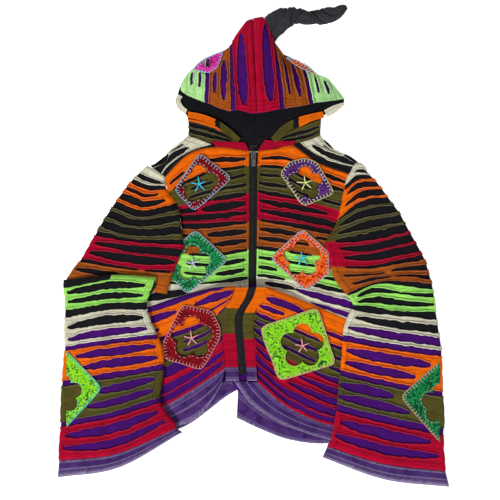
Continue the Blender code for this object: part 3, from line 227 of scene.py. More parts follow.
SLEEVE_RIGHT = read_strips("""
ivory 178.5,140 184,138.5 188.5,133.5
ivory 168,127 178.5,134 191,127.5
ivory 159,107.5 174,120 196,120.5 | 0.35,1.5,6
orange 157,95 177.5,109.5 205,112.5 | -1,2,9
orange 154,76 183,94.5 217,97.5 | 0.1,1.5,11
orange 149,53.5 181,77 227,83.5 | 0.1,1.5,12
olive 144,38 181,61.5 236,71 | 0.05,2,12.5
olive 134,23 188,42.5 248,55 | 0.1,1.5,13.5
olive 125,10 191,25 257,38 | 0.14,1.5,13.5
red 121,1 196,5 265.5,22 | 0.14,1.5,14
red 128,-13 200,-10.5 275,5.5 | 0.18,1.5,14
red 130,-28.5 204,-27 284.5,-12 | 0.2,1.5,14
brown 133,-43 198,-45 249,-35.5 292.5,-27.5 | 0.16,1.5,9
brown 140,-60 213,-51.5 243,-44.5 297,-45.5 | 0.1,0.42,6 0.58,1.5,9
brown 154,-77.5 222,-56.5 269,-57.5 302,-62 | 0.12,0.42,7 0.5,1.5,9
green 162.5,-88 203,-69 255,-73 305,-77 | 0.02,1.5,10
green 167,-94 203,-82.5 240,-87.5 307,-92 | 0.12,0.62,9 0.68,1.5,7
green 170,-100.5 205,-99.5 240,-104.5 308.5,-108.5 | 0.1,0.97,11
ivory 166,-109.5 239,-124 312,-130 | -1,2,14
ivory 157,-128.5 235.5,-142.5 315.5,-154 | 0.1,1.5,14
ivory 152,-147 235.5,-162 319,-174 | 0.06,1.5,15
orange 151.5,-165.5 234,-179 319,-193 | -1,2,10
orange 150.5,-186 232,-204 319.5,-217 | 0.06,0.86,17
orange 148,-206 228.5,-225 320.5,-241 | 0.06,0.72,15
olive 146,-224 225,-242 321.5,-264 | -1,2,9
olive 144.5,-245 223.5,-262 323,-287 | 0.03,0.54,17
olive 143,-264 223.5,-283 323,-308 | 0.03,0.68,15
red 140,-284 223.5,-306 322,-325 | -1,2,12
red 137,-307 223.5,-332 322,-346 | 0.08,0.86,18
red 132,-330 222,-357.5 324.5,-370 | 0.05,0.92,16
red 125,-339 218.5,-368 325.5,-382.5
""")
print("sleeve strips", len(SLEEVE_LEFT_UPPER) + len(SLEEVE_LEFT_LOWER) + len(SLEEVE_RIGHT) - 6)

# %% The fronts' strips
FRONT_UPPER_LEFT = read_strips("""
orange -152.5,114 -111.5,154.5 -64,167 zip160.5
orange -149,104.5 -91,149 zip153
orange -146,96 -86,132 zip142 | 0.08,0.24,5 0.6,0.93,9
olive -142,86 -79,112 zip128.5 | 0.1,0.5,5 0.62,0.93,5
olive -137.5,77.5 -77.5,98 zip113 | 0.3,0.55,4 0.72,0.93,4
olive -132,69 -75.5,83.5 zip97 | 0.25,0.55,4.5 0.66,0.94,5
red -128.5,62 -74,70.5 zip81.5 | 0.2,0.5,5 0.58,0.93,9
red -125.5,52 -74,55 zip64 | 0.02,0.28,9 0.42,0.93,14
red -123,40 -74,42.5 zip47.5 | -0.5,0.94,12
brown -121.5,24.5 -70.5,27 zip32.5 | -0.5,0.95,9
brown -123,9.5 -70.5,10 zip18 | 0.05,0.3,5 0.46,0.94,11
brown -145.5,-6 -70.5,-7.5 zip1.5 | 0.2,0.4,4 0.56,0.94,9
green -159,-18 -74,-24 zip-14.5 | 0.28,0.5,4 0.62,0.95,6
green -172.5,-30 -74,-41.5 zip-30.5 | 0.3,0.52,5 0.66,0.93,8
green -179.5,-45 -75.5,-57 zip-47 | 0.3,0.5,4 0.6,0.92,9
ivory -186,-75 -140,-74 -76,-69 zip-61 | 0.05,0.3,7 0.5,0.97,11
ivory -190,-104 -142,-91 -74,-77.5 zip-73.5 | 0.04,0.47,15
ivory -190.5,-107.5 -142,-94 -74,-80 zip-76.5
""", at_zip, LEFT)
FRONT_UPPER_RIGHT = read_strips("""
orange zip160.5 38,164 67,170 109.5,140 165,120
orange zip153 57,156.5 106,133.5 161.5,113
orange zip142 53.5,138.5 103,118 155,99.5 | 0.07,0.4,6 0.74,0.96,7
olive zip129 50,123 99.5,101 153,86 | 0.06,0.34,5 0.42,0.62,4 0.8,0.97,6
olive zip115.5 50,108 99.5,88.5 151.5,74 | 0.06,0.27,5 0.4,0.62,4
olive zip99.5 53.5,91 99.5,76.5 149,63 | 0.05,0.34,7 0.44,0.6,4 0.8,0.98,5
red zip85 58.5,75.5 104.5,67 147.5,54.5 | 0.04,0.42,7
red zip69 58.5,59.5 104.5,51 145,42.5 | 0.05,0.8,10
red zip52.5 58.5,43.5 99.5,35.5 136.5,27 | 0.06,1.5,12
brown zip36.5 57,29 96,23 128.5,15.5 | 0.06,1.5,8
brown zip21 55,16 92.5,9.5 122.5,4 | 0.06,0.44,9 0.8,1.5,6
brown zip5 53.5,0 99.5,-7.5 143.5,-13 | 0.05,0.34,8 0.44,0.62,4
green zip-12 53.5,-18 109.5,-26.5 164,-29 | 0.02,0.28,7 0.4,0.6,4 0.82,1.5,6
green zip-28 53.5,-35 113,-44 176,-52 | 0.05,0.2,6 0.38,0.6,5 0.75,0.95,5
green zip-44 53.5,-52 113,-62 181,-74 | 0.05,0.22,7 0.4,0.58,4 0.72,0.95,6
ivory zip-57 53.5,-62 113,-75.5 183.5,-94.5 | 0.04,0.3,6 0.58,0.86,8
ivory zip-69 58.5,-78 109.5,-97 186,-118 | 0.13,0.4,10 0.47,1.5,13
ivory zip-75.5 61.5,-89.5 116,-107 187,-134.5 | 0.6,1.5,13
ivory zip-76.5 62,-91 116.5,-108.5 187,-137
""", at_zip, RIGHT)
FRONT_LOWER_LEFT = read_strips("""
purple -190.5,-109 -142,-94,3 -74,-75.5,9 zip-71
orange -190.5,-118.5 -142,-103,3.5 -76,-79,9.5 zip-71.8
orange -191,-145 -142,-128,2 -76,-104,9 zip-84 | -0.05,0.36,14 0.58,0.97,14
orange -192,-160 -143,-143,1 -79,-119,8 zip-96 | 0.02,0.2,8 0.64,0.97,5
olive -193,-177 -145,-164 -80,-142,6 zip-109 | 0.15,0.78,8 0.86,0.97,5
olive -193,-191 -145.5,-178 -81,-156,5 zip-123 | 0.5,0.78,5
olive -194,-205 -145.5,-193 -81,-170,4 zip-138 | 0.24,0.38,6 0.5,0.66,6 0.86,0.97,5
red -194,-246 -148,-233 -86,-199,3 zip-170 | -0.05,0.62,19 0.74,0.97,10
red -192.5,-268 -142,-249 -83,-212,2 zip-188 | -0.05,0.66,15 0.7,0.97,10
red -190,-286 -140,-262.5 -82.5,-227,0.6 zip-203.5 | -0.05,0.95,15
red -189.5,-290 -140,-266 -82.5,-230.5,0.5 zip-207.5
""", at_fold, LEFT)
FRONT_LOWER_RIGHT = read_strips("""
orange zip-72 62,-87.5,8 116.5,-109.5,3 188,-138.5
orange zip-80 62,-94.5,9 116.5,-119,3 188,-147
orange zip-93.5 57,-109.5,9 116.5,-136,2 189.5,-162.5 | 0.07,0.48,14
orange zip-106 53.5,-126.5,7 120,-154.5,1 189.5,-179.5 | 0.04,0.28,8 0.68,0.92,8
olive zip-119 52,-143.5,6 123,-174 190.5,-196.5 | 0.03,0.22,7 0.36,0.6,5 0.7,1.5,8
olive zip-133.5 50,-160.5,5 123,-193 191,-215 | 0.04,0.2,8 0.34,0.58,6 0.74,1.5,9
olive zip-148 48.5,-178.5,4 123,-213.5 191,-234 | 0.03,0.22,11 0.36,0.56,5 0.72,1.5,10
red zip-163 47,-196.5,3 123,-232 191,-252.5 | 0.04,0.22,9 0.6,1.5,12
red zip-179.5 47,-215,2 123,-250 190.5,-269.5 | 0.04,0.3,9 0.5,1.5,13
red zip-197 48.5,-235.5,1 123,-269.5 189.5,-286.5 | -0.5,0.32,12 0.42,1.5,14
red 7.5,-213.5,4 52,-252.5 113,-285 188,-303.5 | -0.5,1.5,13
red 7.5,-228,2 53,-266.5 113,-295.5 187,-312 | -0.5,1.5,10
red 7.5,-231,1 53.5,-270.5 113,-299 186,-315.5
""", at_fold, RIGHT)


def yoke(table, front, places, last_slit):
    """A shoulder's strips. Its last two lines are the front's own top edge, moved off it by the seam."""
    edges = [sewn_to(front[0].line, places, -off) for off in (SEAM + 1.2, SEAM)]
    return read_strips(table) + [Strip("black", edges[0], (last_slit,)), Strip("ivory", edges[1], ())]


SHOULDER_LEFT = yoke("""
ivory -174,135.5 -153,143.5 -143.5,160 -126,172.5 -110,186.5
ivory -173,134 -152,143 -142.5,158.5 -126,170.5 -109.5,185
ivory -171,132 -149.5,141.5 -140,157 -118,169 -97,182 | 0.5,0.76,6
ivory -157,121 -145.5,137 -129,149 -104,163 -78,174.5 | -0.5,0.72,17
""", FRONT_UPPER_LEFT, (0, 0.14, 0.33, 0.5, 0.67), (-0.5, 0.8, 5))
SHOULDER_RIGHT = yoke("""
ivory 113,188 126,169 145.5,159 162.5,151.5 177.5,141
ivory 111,186 125,167.5 144.5,157.5 161.5,150 176.5,139.5
ivory 99.5,181 122,165 142,156 160,148.5 175.5,138 | 0.2,0.55,6
ivory 82,175.5 103,158 123,148.5 147,140.5 170.5,134.5 | 0.14,1.5,16
""", FRONT_UPPER_RIGHT, (0.5, 0.67, 0.84, 0.94, 1), (-0.5, 1.5, 10))
FRONTS = (FRONT_UPPER_LEFT, FRONT_UPPER_RIGHT, FRONT_LOWER_LEFT, FRONT_LOWER_RIGHT)
print("front strips", sum(len(front) for front in FRONTS))

# %% The hood's strips
CROWN_LEFT = read_strips("""
red -1.5,382.5,8 1.5,305,26 6,220,37
red -11,379.5,8 -8.5,305,26 -4,220,36.5
red -30.5,353,5 -29,290,23 -26,226,33 | 0.09,0.89,19
brown -42.5,330.5,3 -41,281.5,20 -40,224,29.5 | -1,2,8
brown -56,326.5,2 -57,281.5,17 -58.5,230,25 | 0.22,0.82,11
brown -69.5,321.5,2 -70.5,281.5,13 -72,237,20 | 0.42,0.74,7
mint -82.5,313.5,2 -83.5,281.5,10 -84,241.5,15 | -1,2,7
mint -94.5,305,1.5 -96,281.5,7 -98,247.5,10 | 0.35,0.68,5
mint -110.5,292.5,1 -112,276,4 -111.5,254,5 | 0.2,0.62,5
mint -122.5,274.5 -123,269.5 -121.5,262.5
""")
CROWN_RIGHT = read_strips("""
red -1,383,8 2.5,305,26 6.5,220,37
red 14,386,8 13,305,26 18,221.5,36.5
red 24,376.5,5 33,305,23 41.5,227,33 | 0.1,0.87,18
brown 33,344,3 47.5,295,20 55,229,29.5 | -1,2,8
brown 52,319.5,2 62,281.5,17 72,232,25 | 0.16,0.78,8
brown 70.5,314.5,2 81,278,13 89,235.5,20 | 0.2,0.8,10
mint 91,304.5,2 98.5,273,10 103,240,15 | -1,2,7
mint 108,289,1.5 115,266,7 121.5,242.5,10 | 0.2,0.7,6
mint 126.5,281.5,1 133.5,262.5,4 140,245.5,5 | 0.2,0.68,7
mint 143,262 147,256 153,248
""")
HOOD_SIDE_LEFT = read_strips("""
orange -110.5,215 -86,211 -64,203.5 -43.5,189.5 -26.5,177.5
olive -110.5,211 -86,205.5 -64,198 -43.5,187 -26.5,176.5
olive -111,201.5 -86,195.5 -64,188.5 -43.5,182 -26.5,175 | -0.5,0.85,7
olive -111,191 -86,183.5 -64,178 -43.5,175 -26.5,173 | -0.5,0.8,7
olive -110.5,188 -86,178.5 -64,173.5 -43.5,172 -26.5,171.5
""")
HOOD_SIDE_RIGHT = read_strips("""
olive 41,180.5 55,191 74,200 94.5,207.5 114.5,215
olive 41,179 55,188 74,194.5 94.5,200.5 114.5,207.5
olive 41,176 55,181.5 74,186 94.5,191 113.5,198 | 0.12,0.95,6
olive 41,173 55,174 74,177 94.5,183 113,190.5 | 0.15,0.97,5
olive 41,171.5 55,172 74,174 94.5,179.5 113,187.5
""")
print("hood strips", len(CROWN_LEFT) + len(CROWN_RIGHT))

# %% [markdown]
# Every cloth is a small node tree. Cotton jersey needs four things: a colour that is uneven from washing,
# a knit bump, a soft sheen, and the thread of its topstitching. The pattern has to follow the strips, so it
# reads the piece's own UV map, whose U runs along a strip and whose V runs across it, both in millimetres,
# with V = 0 on the strip's row of stitching. Two attributes come from the mesh: "lip" is 1 on a cut edge
# that has rolled up, and "seam" is 1 in a groove that is stitched across the strips.

# %% A helper that adds nodes
class Wire:
    """A value that a node puts out. Sums and products of wires are Math nodes."""

    def __init__(self, tree, socket):
        self.tree, self.socket = tree, socket

    def __add__(self, other):
        return self.tree.math("ADD", self, other)

    def __sub__(self, other):
        return self.tree.math("SUBTRACT", self, other)

    def __mul__(self, other):
        return self.tree.math("MULTIPLY", self, other)

    def __lt__(self, other):
        return self.tree.math("LESS_THAN", self, other)

    def __gt__(self, other):
        return self.tree.math("GREATER_THAN", self, other)


class Tree:
    """The node tree of one material, with its Principled shader."""

    def __init__(self, name, roughness, metallic=0.0, sheen=0.0):
        self.material = bpy.data.materials.new(name)
        self.material.use_nodes = True
        self.nodes = self.material.node_tree.nodes
        self.inputs = self.nodes["Principled BSDF"].inputs
        for key, value in (("Roughness", roughness), ("Metallic", metallic), ("Sheen Weight", sheen),
                           ("Specular IOR Level", 0.5 if metallic else 0.08)):
            self.put(self.inputs[key], value)
        self.object = self.wire(self.nodes.new("ShaderNodeTexCoord"), "Object")
        self.uv = self.wire(self.nodes.new("ShaderNodeUVMap"), "UV")
        parts = self.nodes.new("ShaderNodeSeparateXYZ")
        self.put(parts.inputs[0], self.uv)
        self.u, self.v = self.wire(parts, 0), self.wire(parts, 1)

    def wire(self, node, output=0):
        return Wire(self, node.outputs[output])

    def put(self, socket, value):
        if isinstance(value, Wire):
            self.material.node_tree.links.new(value.socket, socket)
        elif socket.type == "RGBA":
            socket.default_value = (*value, 1.0)
        else:
            socket.default_value = value

    def fed(self, kind, values, **settings):
        """A new node with its settings and the values of its inputs."""
        node = self.nodes.new("ShaderNode" + kind)
        for key, value in settings.items():
            setattr(node, key, value)
        for key, value in values.items():
            self.put(node.inputs[key], value)
        return node

    def math(self, operation, a, b=0.0):
        return self.wire(self.fed("Math", {0: a, 1: b}, operation=operation))

    def wave(self, along_it, frequency):
        return self.math("SINE", along_it * frequency)

    def attribute(self, name):
        return self.wire(self.fed("Attribute", {}, attribute_name=name), "Fac")

    def noise(self, where, scale, detail=2.0, rough=0.5, stretch=None):
        if stretch:
            where = self.wire(self.fed("Mapping", {"Vector": where, "Scale": stretch}))
        return self.wire(self.fed("TexNoise", {"Vector": where, "Scale": scale, "Detail": detail,
                                               "Roughness": rough}), "Fac")

    def span(self, value, low, high, to_low=0.0, to_high=1.0):
        """A value carried from one range to another, and held at its ends."""
        return self.wire(self.fed("MapRange", dict(enumerate((value, low, high, to_low, to_high)))))

    def mix(self, share, a, b):
        return self.wire(self.fed("Mix", {0: share, 6: a, 7: b}, data_type="RGBA"), 2)

    def finish(self, colour, height, distance, strength):
        """Wires up the colour and the bump, and gives the material."""
        self.put(self.inputs["Base Color"], colour)
        bump = self.fed("Bump", {"Height": height, "Distance": distance, "Strength": strength})
        self.put(self.inputs["Normal"], self.wire(bump))
        return self.material


def shade(colour, by):
    return tuple(min(1.0, part * by) for part in colour)


print("node helper ready")

# %% [markdown]
# The stitching is a row of dashes. Along the strip it lies where V is near 0; across the strips it lies in
# the "seam" grooves. A dash is on for most of each stitch, so the wave along it is a sawtooth with a gap.

# %% Jersey, lining and worn hem
STITCH = 2.6           # length of one machine stitch
KNIT = 2 * math.pi / 1.1    # frequency of the jersey's ribs, which are 1.1 mm apart

CLOTHS = {             # colour, and how strongly the cut edges are faded
    "ivory": ((0.64, 0.61, 0.46), 0.3),
    "orange": ((1.0, 0.135, 0.001), 0.22),
    "olive": ((0.085, 0.073, 0.013), 0.5),
    "red": ((0.40, 0.001, 0.024), 0.12),
    "brown": ((0.37, 0.082, 0.007), 0.3),
    "green": ((0.31, 0.72, 0.11), 0.8),
    "mint": ((0.42, 0.80, 0.28), 0.6),
    "black": ((0.0082, 0.0078, 0.0102), 0.2),
    "purple": ((0.052, 0.0035, 0.130), 0.3),
    "charcoal": ((0.030, 0.031, 0.034), 0.3),
    "seam_tape": ((0.060, 0.026, 0.013), 0.1),
}


def dashes(tree, along_it):
    """1 on a stitch and 0 in the gap between two stitches."""
    return tree.math("FRACT", tree.math("DIVIDE", along_it, STITCH)) < 0.8


def jersey(name, colour, fade):
    """Washed cotton jersey: ribs along the strip, uneven dye, pale fuzz on the cut edges, dark stitching."""
    tree = Tree("jersey_" + name, 0.95, sheen=0.02)
    blotch = tree.noise(tree.object, 38, 4, 0.6)
    streaks = tree.noise(tree.uv, 1.0, 3, 0.6, stretch=(0.06, 0.9, 1))
    fibres = tree.noise(tree.object, 1400, 2, 0.7)
    tone = tree.span(blotch, 0.3, 0.7, 0.80, 1.10) + tree.span(streaks, 0.3, 0.7, -0.26, 0.26)
    tone = tone + tree.span(fibres, 0.3, 0.7, -0.10, 0.10)
    dyed = tree.mix(tree.span(tone, 0.6, 1.4), shade(colour, 0.6), shade(colour, 1.4))
    pale = tuple(part + (1 - part) * 0.16 for part in shade(colour, 1.15))
    worn = tree.attribute("lip") * tree.span(fibres, 0.35, 0.6, 0.3, 1.0)
    dyed = tree.mix(worn * fade, dyed, pale)
    row = tree.math("ABSOLUTE", tree.v) < 0.42
    seam = tree.attribute("seam") > 0.55
    sewn = tree.math("MAXIMUM", row * dashes(tree, tree.u), seam * dashes(tree, tree.v))
    knit = tree.wave(tree.v, KNIT) * 0.35 + tree.wave(tree.u, KNIT / 0.8) * 0.15
    crease = tree.noise(tree.object, 260, 3, 0.6)
    return tree.finish(tree.mix(sewn * 0.75, dyed, shade(colour, 0.35)), knit + crease * 1.6 - sewn * 1.2,
                       0.00035, 0.75)


def worn_rib():
    """Purple jersey, overdyed and rubbed: whitish along its edges and its stitching."""
    deep, mid, pale = (0.036, 0.010, 0.092), (0.090, 0.036, 0.185), (0.46, 0.40, 0.56)
    tree = Tree("washed_purple", 0.95, sheen=0.05)
    blotch = tree.noise(tree.object, 55, 5, 0.65)
    streaks = tree.noise(tree.uv, 1.0, 4, 0.7, stretch=(0.55, 0.10, 1))
    rubbed = tree.attribute("lip") * tree.span(streaks, 0.35, 0.62)
    base = tree.mix(tree.span(blotch, 0.35, 0.68), deep, mid)
    base = tree.mix(tree.span(streaks, 0.55, 0.75, 0, 0.45), base, mid)
    base = tree.mix(rubbed * 0.85, base, pale)
    sewn = (tree.attribute("seam") > 0.55) * dashes(tree, tree.u)
    return tree.finish(tree.mix(sewn * tree.span(streaks, 0.35, 0.65, 0.05, 0.55), base, pale),
                       tree.wave(tree.u, KNIT) * 0.4 + streaks * 1.5, 0.0004, 0.8)


MATERIALS = {name: jersey(name, colour, fade) for name, (colour, fade) in CLOTHS.items()}
MATERIALS["washed"] = worn_rib()
print("cloths", list(MATERIALS))

# %% [markdown]
# The patches are printed cotton: a ground colour with a second colour in small irregular marks. Noise that
# is cut off sharply gives such marks, and a darker tone follows the patch's edges, where the dye has run.

# %% Patch cotton, thread, tape and metal
def printed(name, ground, mark, edge, amount):
    tree = Tree("patch_" + name, 0.92, sheen=0.04)
    marks = tree.noise(tree.object, 260, 3, 0.65)
    cloud = tree.noise(tree.object, 50, 3, 0.6)
    shown = tree.span(marks + cloud * 0.35, 0.72 - amount, 0.78 - amount)
    base = tree.mix(tree.span(cloud, 0.35, 0.65), shade(ground, 0.78), shade(ground, 1.15))
    rim = tree.attribute("lip") * tree.span(marks, 0.35, 0.6, 0.2, 1.0)
    weave = tree.wave(tree.u, 7.0) * tree.wave(tree.v, 7.0)
    return tree.finish(tree.mix(rim * 0.7, tree.mix(shown, base, mark), edge), weave * 0.5 + marks * 1.2,
                       0.0003, 0.7)


DARK_GREEN = (0.012, 0.085, 0.022)
PATCH_CLOTHS = {       # ground, marks, edge, and how much of the ground the marks cover
    "darkred": ((0.25, 0.003, 0.004), (0.13, 0.001, 0.003), (0.17, 0.002, 0.004), 0.09),
    "crimson": ((0.150, 0.001, 0.005), (0.27, 0.006, 0.010), (0.08, 0.001, 0.003), 0.05),
    "plum": ((0.055, 0.010, 0.115), (0.11, 0.03, 0.19), (0.03, 0.006, 0.07), 0.06),
    "emerald": ((0.008, 0.27, 0.075), (0.004, 0.055, 0.018), (0.02, 0.34, 0.09), 0.08),
    "tangerine": ((0.93, 0.13, 0.005), (0.42, 0.012, 0.005), (0.80, 0.08, 0.004), 0.05),
    "lime": ((0.28, 0.76, 0.015), DARK_GREEN, (0.20, 0.60, 0.02), 0.03),
    "magenta": ((0.60, 0.008, 0.30), (0.72, 0.06, 0.40), (0.38, 0.004, 0.18), 0.08),
}
for name, look in PATCH_CLOTHS.items():
    MATERIALS[name] = printed(name, *look)


def plain(name, roughness, sheen, grain, low, high, depth=0.0002, relief=lambda tree, fibres: fibres):
    """Two tones, mixed by fine noise. Embroidery cotton, the zip's tape and the label are such."""
    tree = Tree(name, roughness, sheen=sheen)
    fibres = tree.noise(tree.object, *grain)
    return tree.finish(tree.mix(tree.span(fibres, 0.3, 0.7), low, high), relief(tree, fibres), depth, 0.6)


THREADS = {
    "skyblue": (0.25, 0.62, 0.80),
    "cyan": (0.05, 0.60, 0.82),
    "paleyellow": (0.78, 0.80, 0.34),
    "lavender": (0.56, 0.56, 0.78),
    "pink": (0.86, 0.36, 0.38),
}
for name, colour in THREADS.items():
    MATERIALS["thread_" + name] = plain("thread_" + name, 0.7, 0.1, (900, 2, 0.6), shade(colour, 0.75),
                                        shade(colour, 1.15), depth=0.0003)
MATERIALS["tape"] = plain("zip_tape", 0.8, 0.05, (700, 2), (0.007, 0.007, 0.008), (0.018, 0.018, 0.020),
                          relief=lambda tree, fibres: tree.wave(tree.u + tree.v, 4.0) + fibres)
MATERIALS["label"] = plain("label_cloth", 0.85, 0.05, (300, 2), (0.013, 0.011, 0.012), (0.030, 0.024, 0.022),
                           relief=lambda tree, fibres: tree.wave(tree.u, 6.0) * tree.wave(tree.v, 6.0))


def plated(name, colour, roughness, metallic):
    tree = Tree(name, roughness, metallic)
    worn = tree.noise(tree.object, 320, 3, 0.6)
    tree.put(tree.inputs["Roughness"], tree.span(worn, 0.3, 0.7, roughness + 0.12, roughness - 0.08))
    return tree.finish(tree.mix(tree.span(worn, 0.35, 0.7), shade(colour, 0.55), shade(colour, 1.2)), worn,
                       0.0001, 0.4)


MATERIALS["coil"] = plated("zip_coil", (0.028, 0.028, 0.030), 0.4, 0.0)
MATERIALS["metal"] = plated("zip_metal", (0.22, 0.215, 0.21), 0.4, 1.0)
print("materials", len(MATERIALS))

# %% [markdown]
# Laid out on a floor, cotton keeps soft creases. They are listed one by one, each as a ridge with a start,
# an end, a half width and a height, and a slow noise makes the cloth between them uneven. Every layer of the
# garment rises by the same amount at the same place, so the layers never pass through each other.

# %% Creases that all layers share
CREASES = read_numbers("""
-122 22 -60 62 9 2.4
-128 -2 -52 -16 10 2.0
-172 -40 -112 -62 11 2.2
-60 128 -28 90 10 1.4
122 6 62 46 9 2.6
124 -4 66 -14 8 2.2
152 -22 98 -62 10 2.2
118 96 60 84 10 1.6
-150 -128 -58 -176 13 2.4
-184 -184 -118 -214 11 2.2
-160 -226 -96 -236 10 1.8
34 -148 18 -212 9 1.8
156 -158 118 -222 12 3.0
182 -232 88 -262 13 2.6
58 -248 134 -292 9 2.0
-252 42 -150 12 9 1.8
-284 -14 -176 -26 8 1.6
-236 -62 -252 -132 10 2.2
-182 -112 -232 -172 10 2.4
-302 -152 -228 -142 8 1.6
-198 -202 -282 -262 12 2.2
-162 -262 -232 -332 12 2.6
-312 -330 -238 -352 10 2.0
160 92 232 60 9 1.8
148 22 232 -8 9 2.0
146 -32 222 -60 9 2.2
172 -102 252 -112 8 1.8
162 -152 242 -192 12 2.6
292 -122 268 -202 10 2.2
204 -232 162 -302 12 2.4
302 -302 238 -352 13 2.6
""")
UNEVEN = 1.1           # height of the slow unevenness between the creases
UNEVEN_SPAN = 34       # and its scale
RUN_OUT = 0.1          # a crease runs out over this share of its length, past both of its ends
ZIP_FLAT = 26.0        # the zip's stiff tape keeps the cloth beside it flat
WAIST = -70            # the height of the waist fold


def crumple(x, y):
    """How far the cloth stands up at a place, in millimetres."""
    high = UNEVEN * (0.5 + 0.5 * noise.noise(Vector((x / UNEVEN_SPAN, y / UNEVEN_SPAN, 0.7))))
    for x0, y0, x1, y1, wide, ridge in CREASES:
        run_x, run_y = x1 - x0, y1 - y0
        t = ((x - x0) * run_x + (y - y0) * run_y) / (run_x ** 2 + run_y ** 2)
        if -RUN_OUT < t < 1 + RUN_OUT:
            away = abs((x - x0) * run_y - (y - y0) * run_x) / math.hypot(run_x, run_y)
            if away < 3 * wide:
                ends = math.sin(math.pi * (t + RUN_OUT) / (1 + 2 * RUN_OUT))
                high += ridge * ends * math.exp(-(away / wide) ** 2)
    middle = zip_at(y, y < WAIST)[0]
    return high * min(1.0, abs(x - middle) / ZIP_FLAT)


print("creases", len(CREASES))

# %% [markdown]
# One function makes every flat piece: it takes rows of points and lays a bmesh grid over them. Each row
# says its cloth, its V, how rolled its cloth is, and whether the cloth is cut open below it. The grid's
# faces there are deleted, and where a slit is closed its two lips lie on each other and are merged.

# %% From rows of points to a piece of cloth
Row = namedtuple("Row", "points cloth v lip seam cut", defaults=(0.0, 0.0, False))
made_triangles = {}


def new_mesh():
    mesh = bmesh.new()
    mesh.loops.layers.uv.new("UVMap")
    return mesh


def grid(columns, rows):
    """A bmesh grid with its points at whole-number places, column by row."""
    mesh = new_mesh()
    bmesh.ops.create_grid(mesh, x_segments=columns, y_segments=rows, size=0.5)
    for point in mesh.verts:
        point.co = (round((point.co.x + 0.5) * columns), round((0.5 - point.co.y) * rows), 0)
    return mesh


def each(value, wide):
    """A value for every column, from one number or from a list."""
    return value if isinstance(value, list) else [value] * wide


def shares(count):
    """Evenly spaced places from 0 to 1."""
    return [k / count for k in range(count + 1)]


def run_lengths(points):
    lengths = [0.0]
    for a, b in zip(points, points[1:]):
        lengths.append(lengths[-1] + (b - a).length)
    return lengths


def cloth_mesh(rows, grooves=(), us=(), paint=None):
    """A grid through the rows, with its UVs in millimetres, its attributes and its materials' names.

    A paint function can change a face's cloth. It is given the face's row, its u, its point and its cloth.
    """
    wide = len(rows[0].points)
    seams = dict(grooves)
    mesh = grid(wide - 1, len(rows) - 1)
    uv = mesh.loops.layers.uv["UVMap"]
    lip = mesh.verts.layers.float.new("lip")
    seam = mesh.verts.layers.float.new("seam")
    runs = [run_lengths(row.points) for row in rows]
    lips = [each(row.lip, wide) for row in rows]
    sides = [each(row.v, wide) for row in rows]
    cloths, opened = [], []
    for face in mesh.faces:
        r = min(round(point.co.y) for point in face.verts)
        c = min(round(point.co.x) for point in face.verts)
        cloth = rows[r + 1].cloth
        if paint:
            cloth = paint(r, us[c], rows[r].points[c], cloth)
        if cloth not in cloths:
            cloths.append(cloth)
        face.material_index = cloths.index(cloth)
        if rows[r].cut:
            opened.append(face)
        for loop in face.loops:
            column, row = round(loop.vert.co.x), round(loop.vert.co.y)
            loop[uv].uv = (runs[row][column], sides[row][column])
    for point in mesh.verts:
        column, row = round(point.co.x), round(point.co.y)
        point[lip] = lips[row][column]
        point[seam] = max(rows[row].seam, seams.get(column, 0.0))
        point.co = rows[row].points[column]
    if opened:
        bmesh.ops.delete(mesh, geom=opened, context="FACES_ONLY")
    return mesh, cloths


def weld(mesh):
    bmesh.ops.remove_doubles(mesh, verts=mesh.verts, dist=WELD)


def turn_up(mesh, tube=False):
    """Turns a tube so that its top looks up, or a sheet by its whole area, as its rolled edges look down."""
    mesh.normal_update()
    if tube:
        up = max(mesh.faces, key=lambda face: face.calc_center_median().z).normal.z
    else:
        up = sum(face.normal.z * face.calc_area() for face in mesh.faces)
    if up < 0:
        bmesh.ops.reverse_faces(mesh, faces=mesh.faces[:])


def add_piece(name, mesh, cloths, node=None, slot=None, body="garment", wall=0.0, offset=1.0, rim=0.0,
              smooth=True):
    """Puts a mesh in the scene: in metres, with its wall, its materials, its body and its node."""
    if name == node:
        name = "sewn_" + name
    weld(mesh)
    for face in mesh.faces:
        face.smooth = smooth
    bmesh.ops.scale(mesh, vec=(MM, MM, MM), verts=mesh.verts)
    data = bpy.data.meshes.new(name)
    mesh.to_mesh(data)
    mesh.free()
    piece = bpy.data.objects.new(name, data)
    bpy.context.scene.collection.objects.link(piece)
    for cloth in cloths:
        data.materials.append(MATERIALS[cloth])
    if wall:
        thick = piece.modifiers.new("wall", "SOLIDIFY")
        thick.thickness = wall * MM
        thick.offset = offset
        thick.use_even_offset = False
    if rim:
        soft = piece.modifiers.new("soft_rim", "BEVEL")
        soft.width = rim * MM
        soft.segments = 2
        soft.limit_method = "ANGLE"
        soft.angle_limit = math.radians(60)
    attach(piece, body)
    if node:
        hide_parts(node)
    made_triangles[piece.name] = sum(len(face.vertices) - 2 for face in data.polygons) * (2 if wall else 1)
    return piece


print("piece tools ready")

# %% [markdown]
# The cut of each laid sheet is worked out from its places: the longest of its rows is its width, the longest
# of its columns is its length, and the cells between them add up to its area. Width and length are printed.

# %% The cut of each sheet
LEAST_SIDE = 10.2      # a sheet is stated no narrower than this
LEAST_SHARE = 0.31     # and its area is held to no smaller share of its rectangle


def declare(piece, wide, long, area, rests_on):
    area = min(max(area, LEAST_SHARE * wide * long), wide * long)
    wide * MM
    long * MM
    area * MM * MM
    print(f"{piece.name}: cut {wide:.0f} x {long:.0f} mm, {made_triangles[piece.name]} triangles")


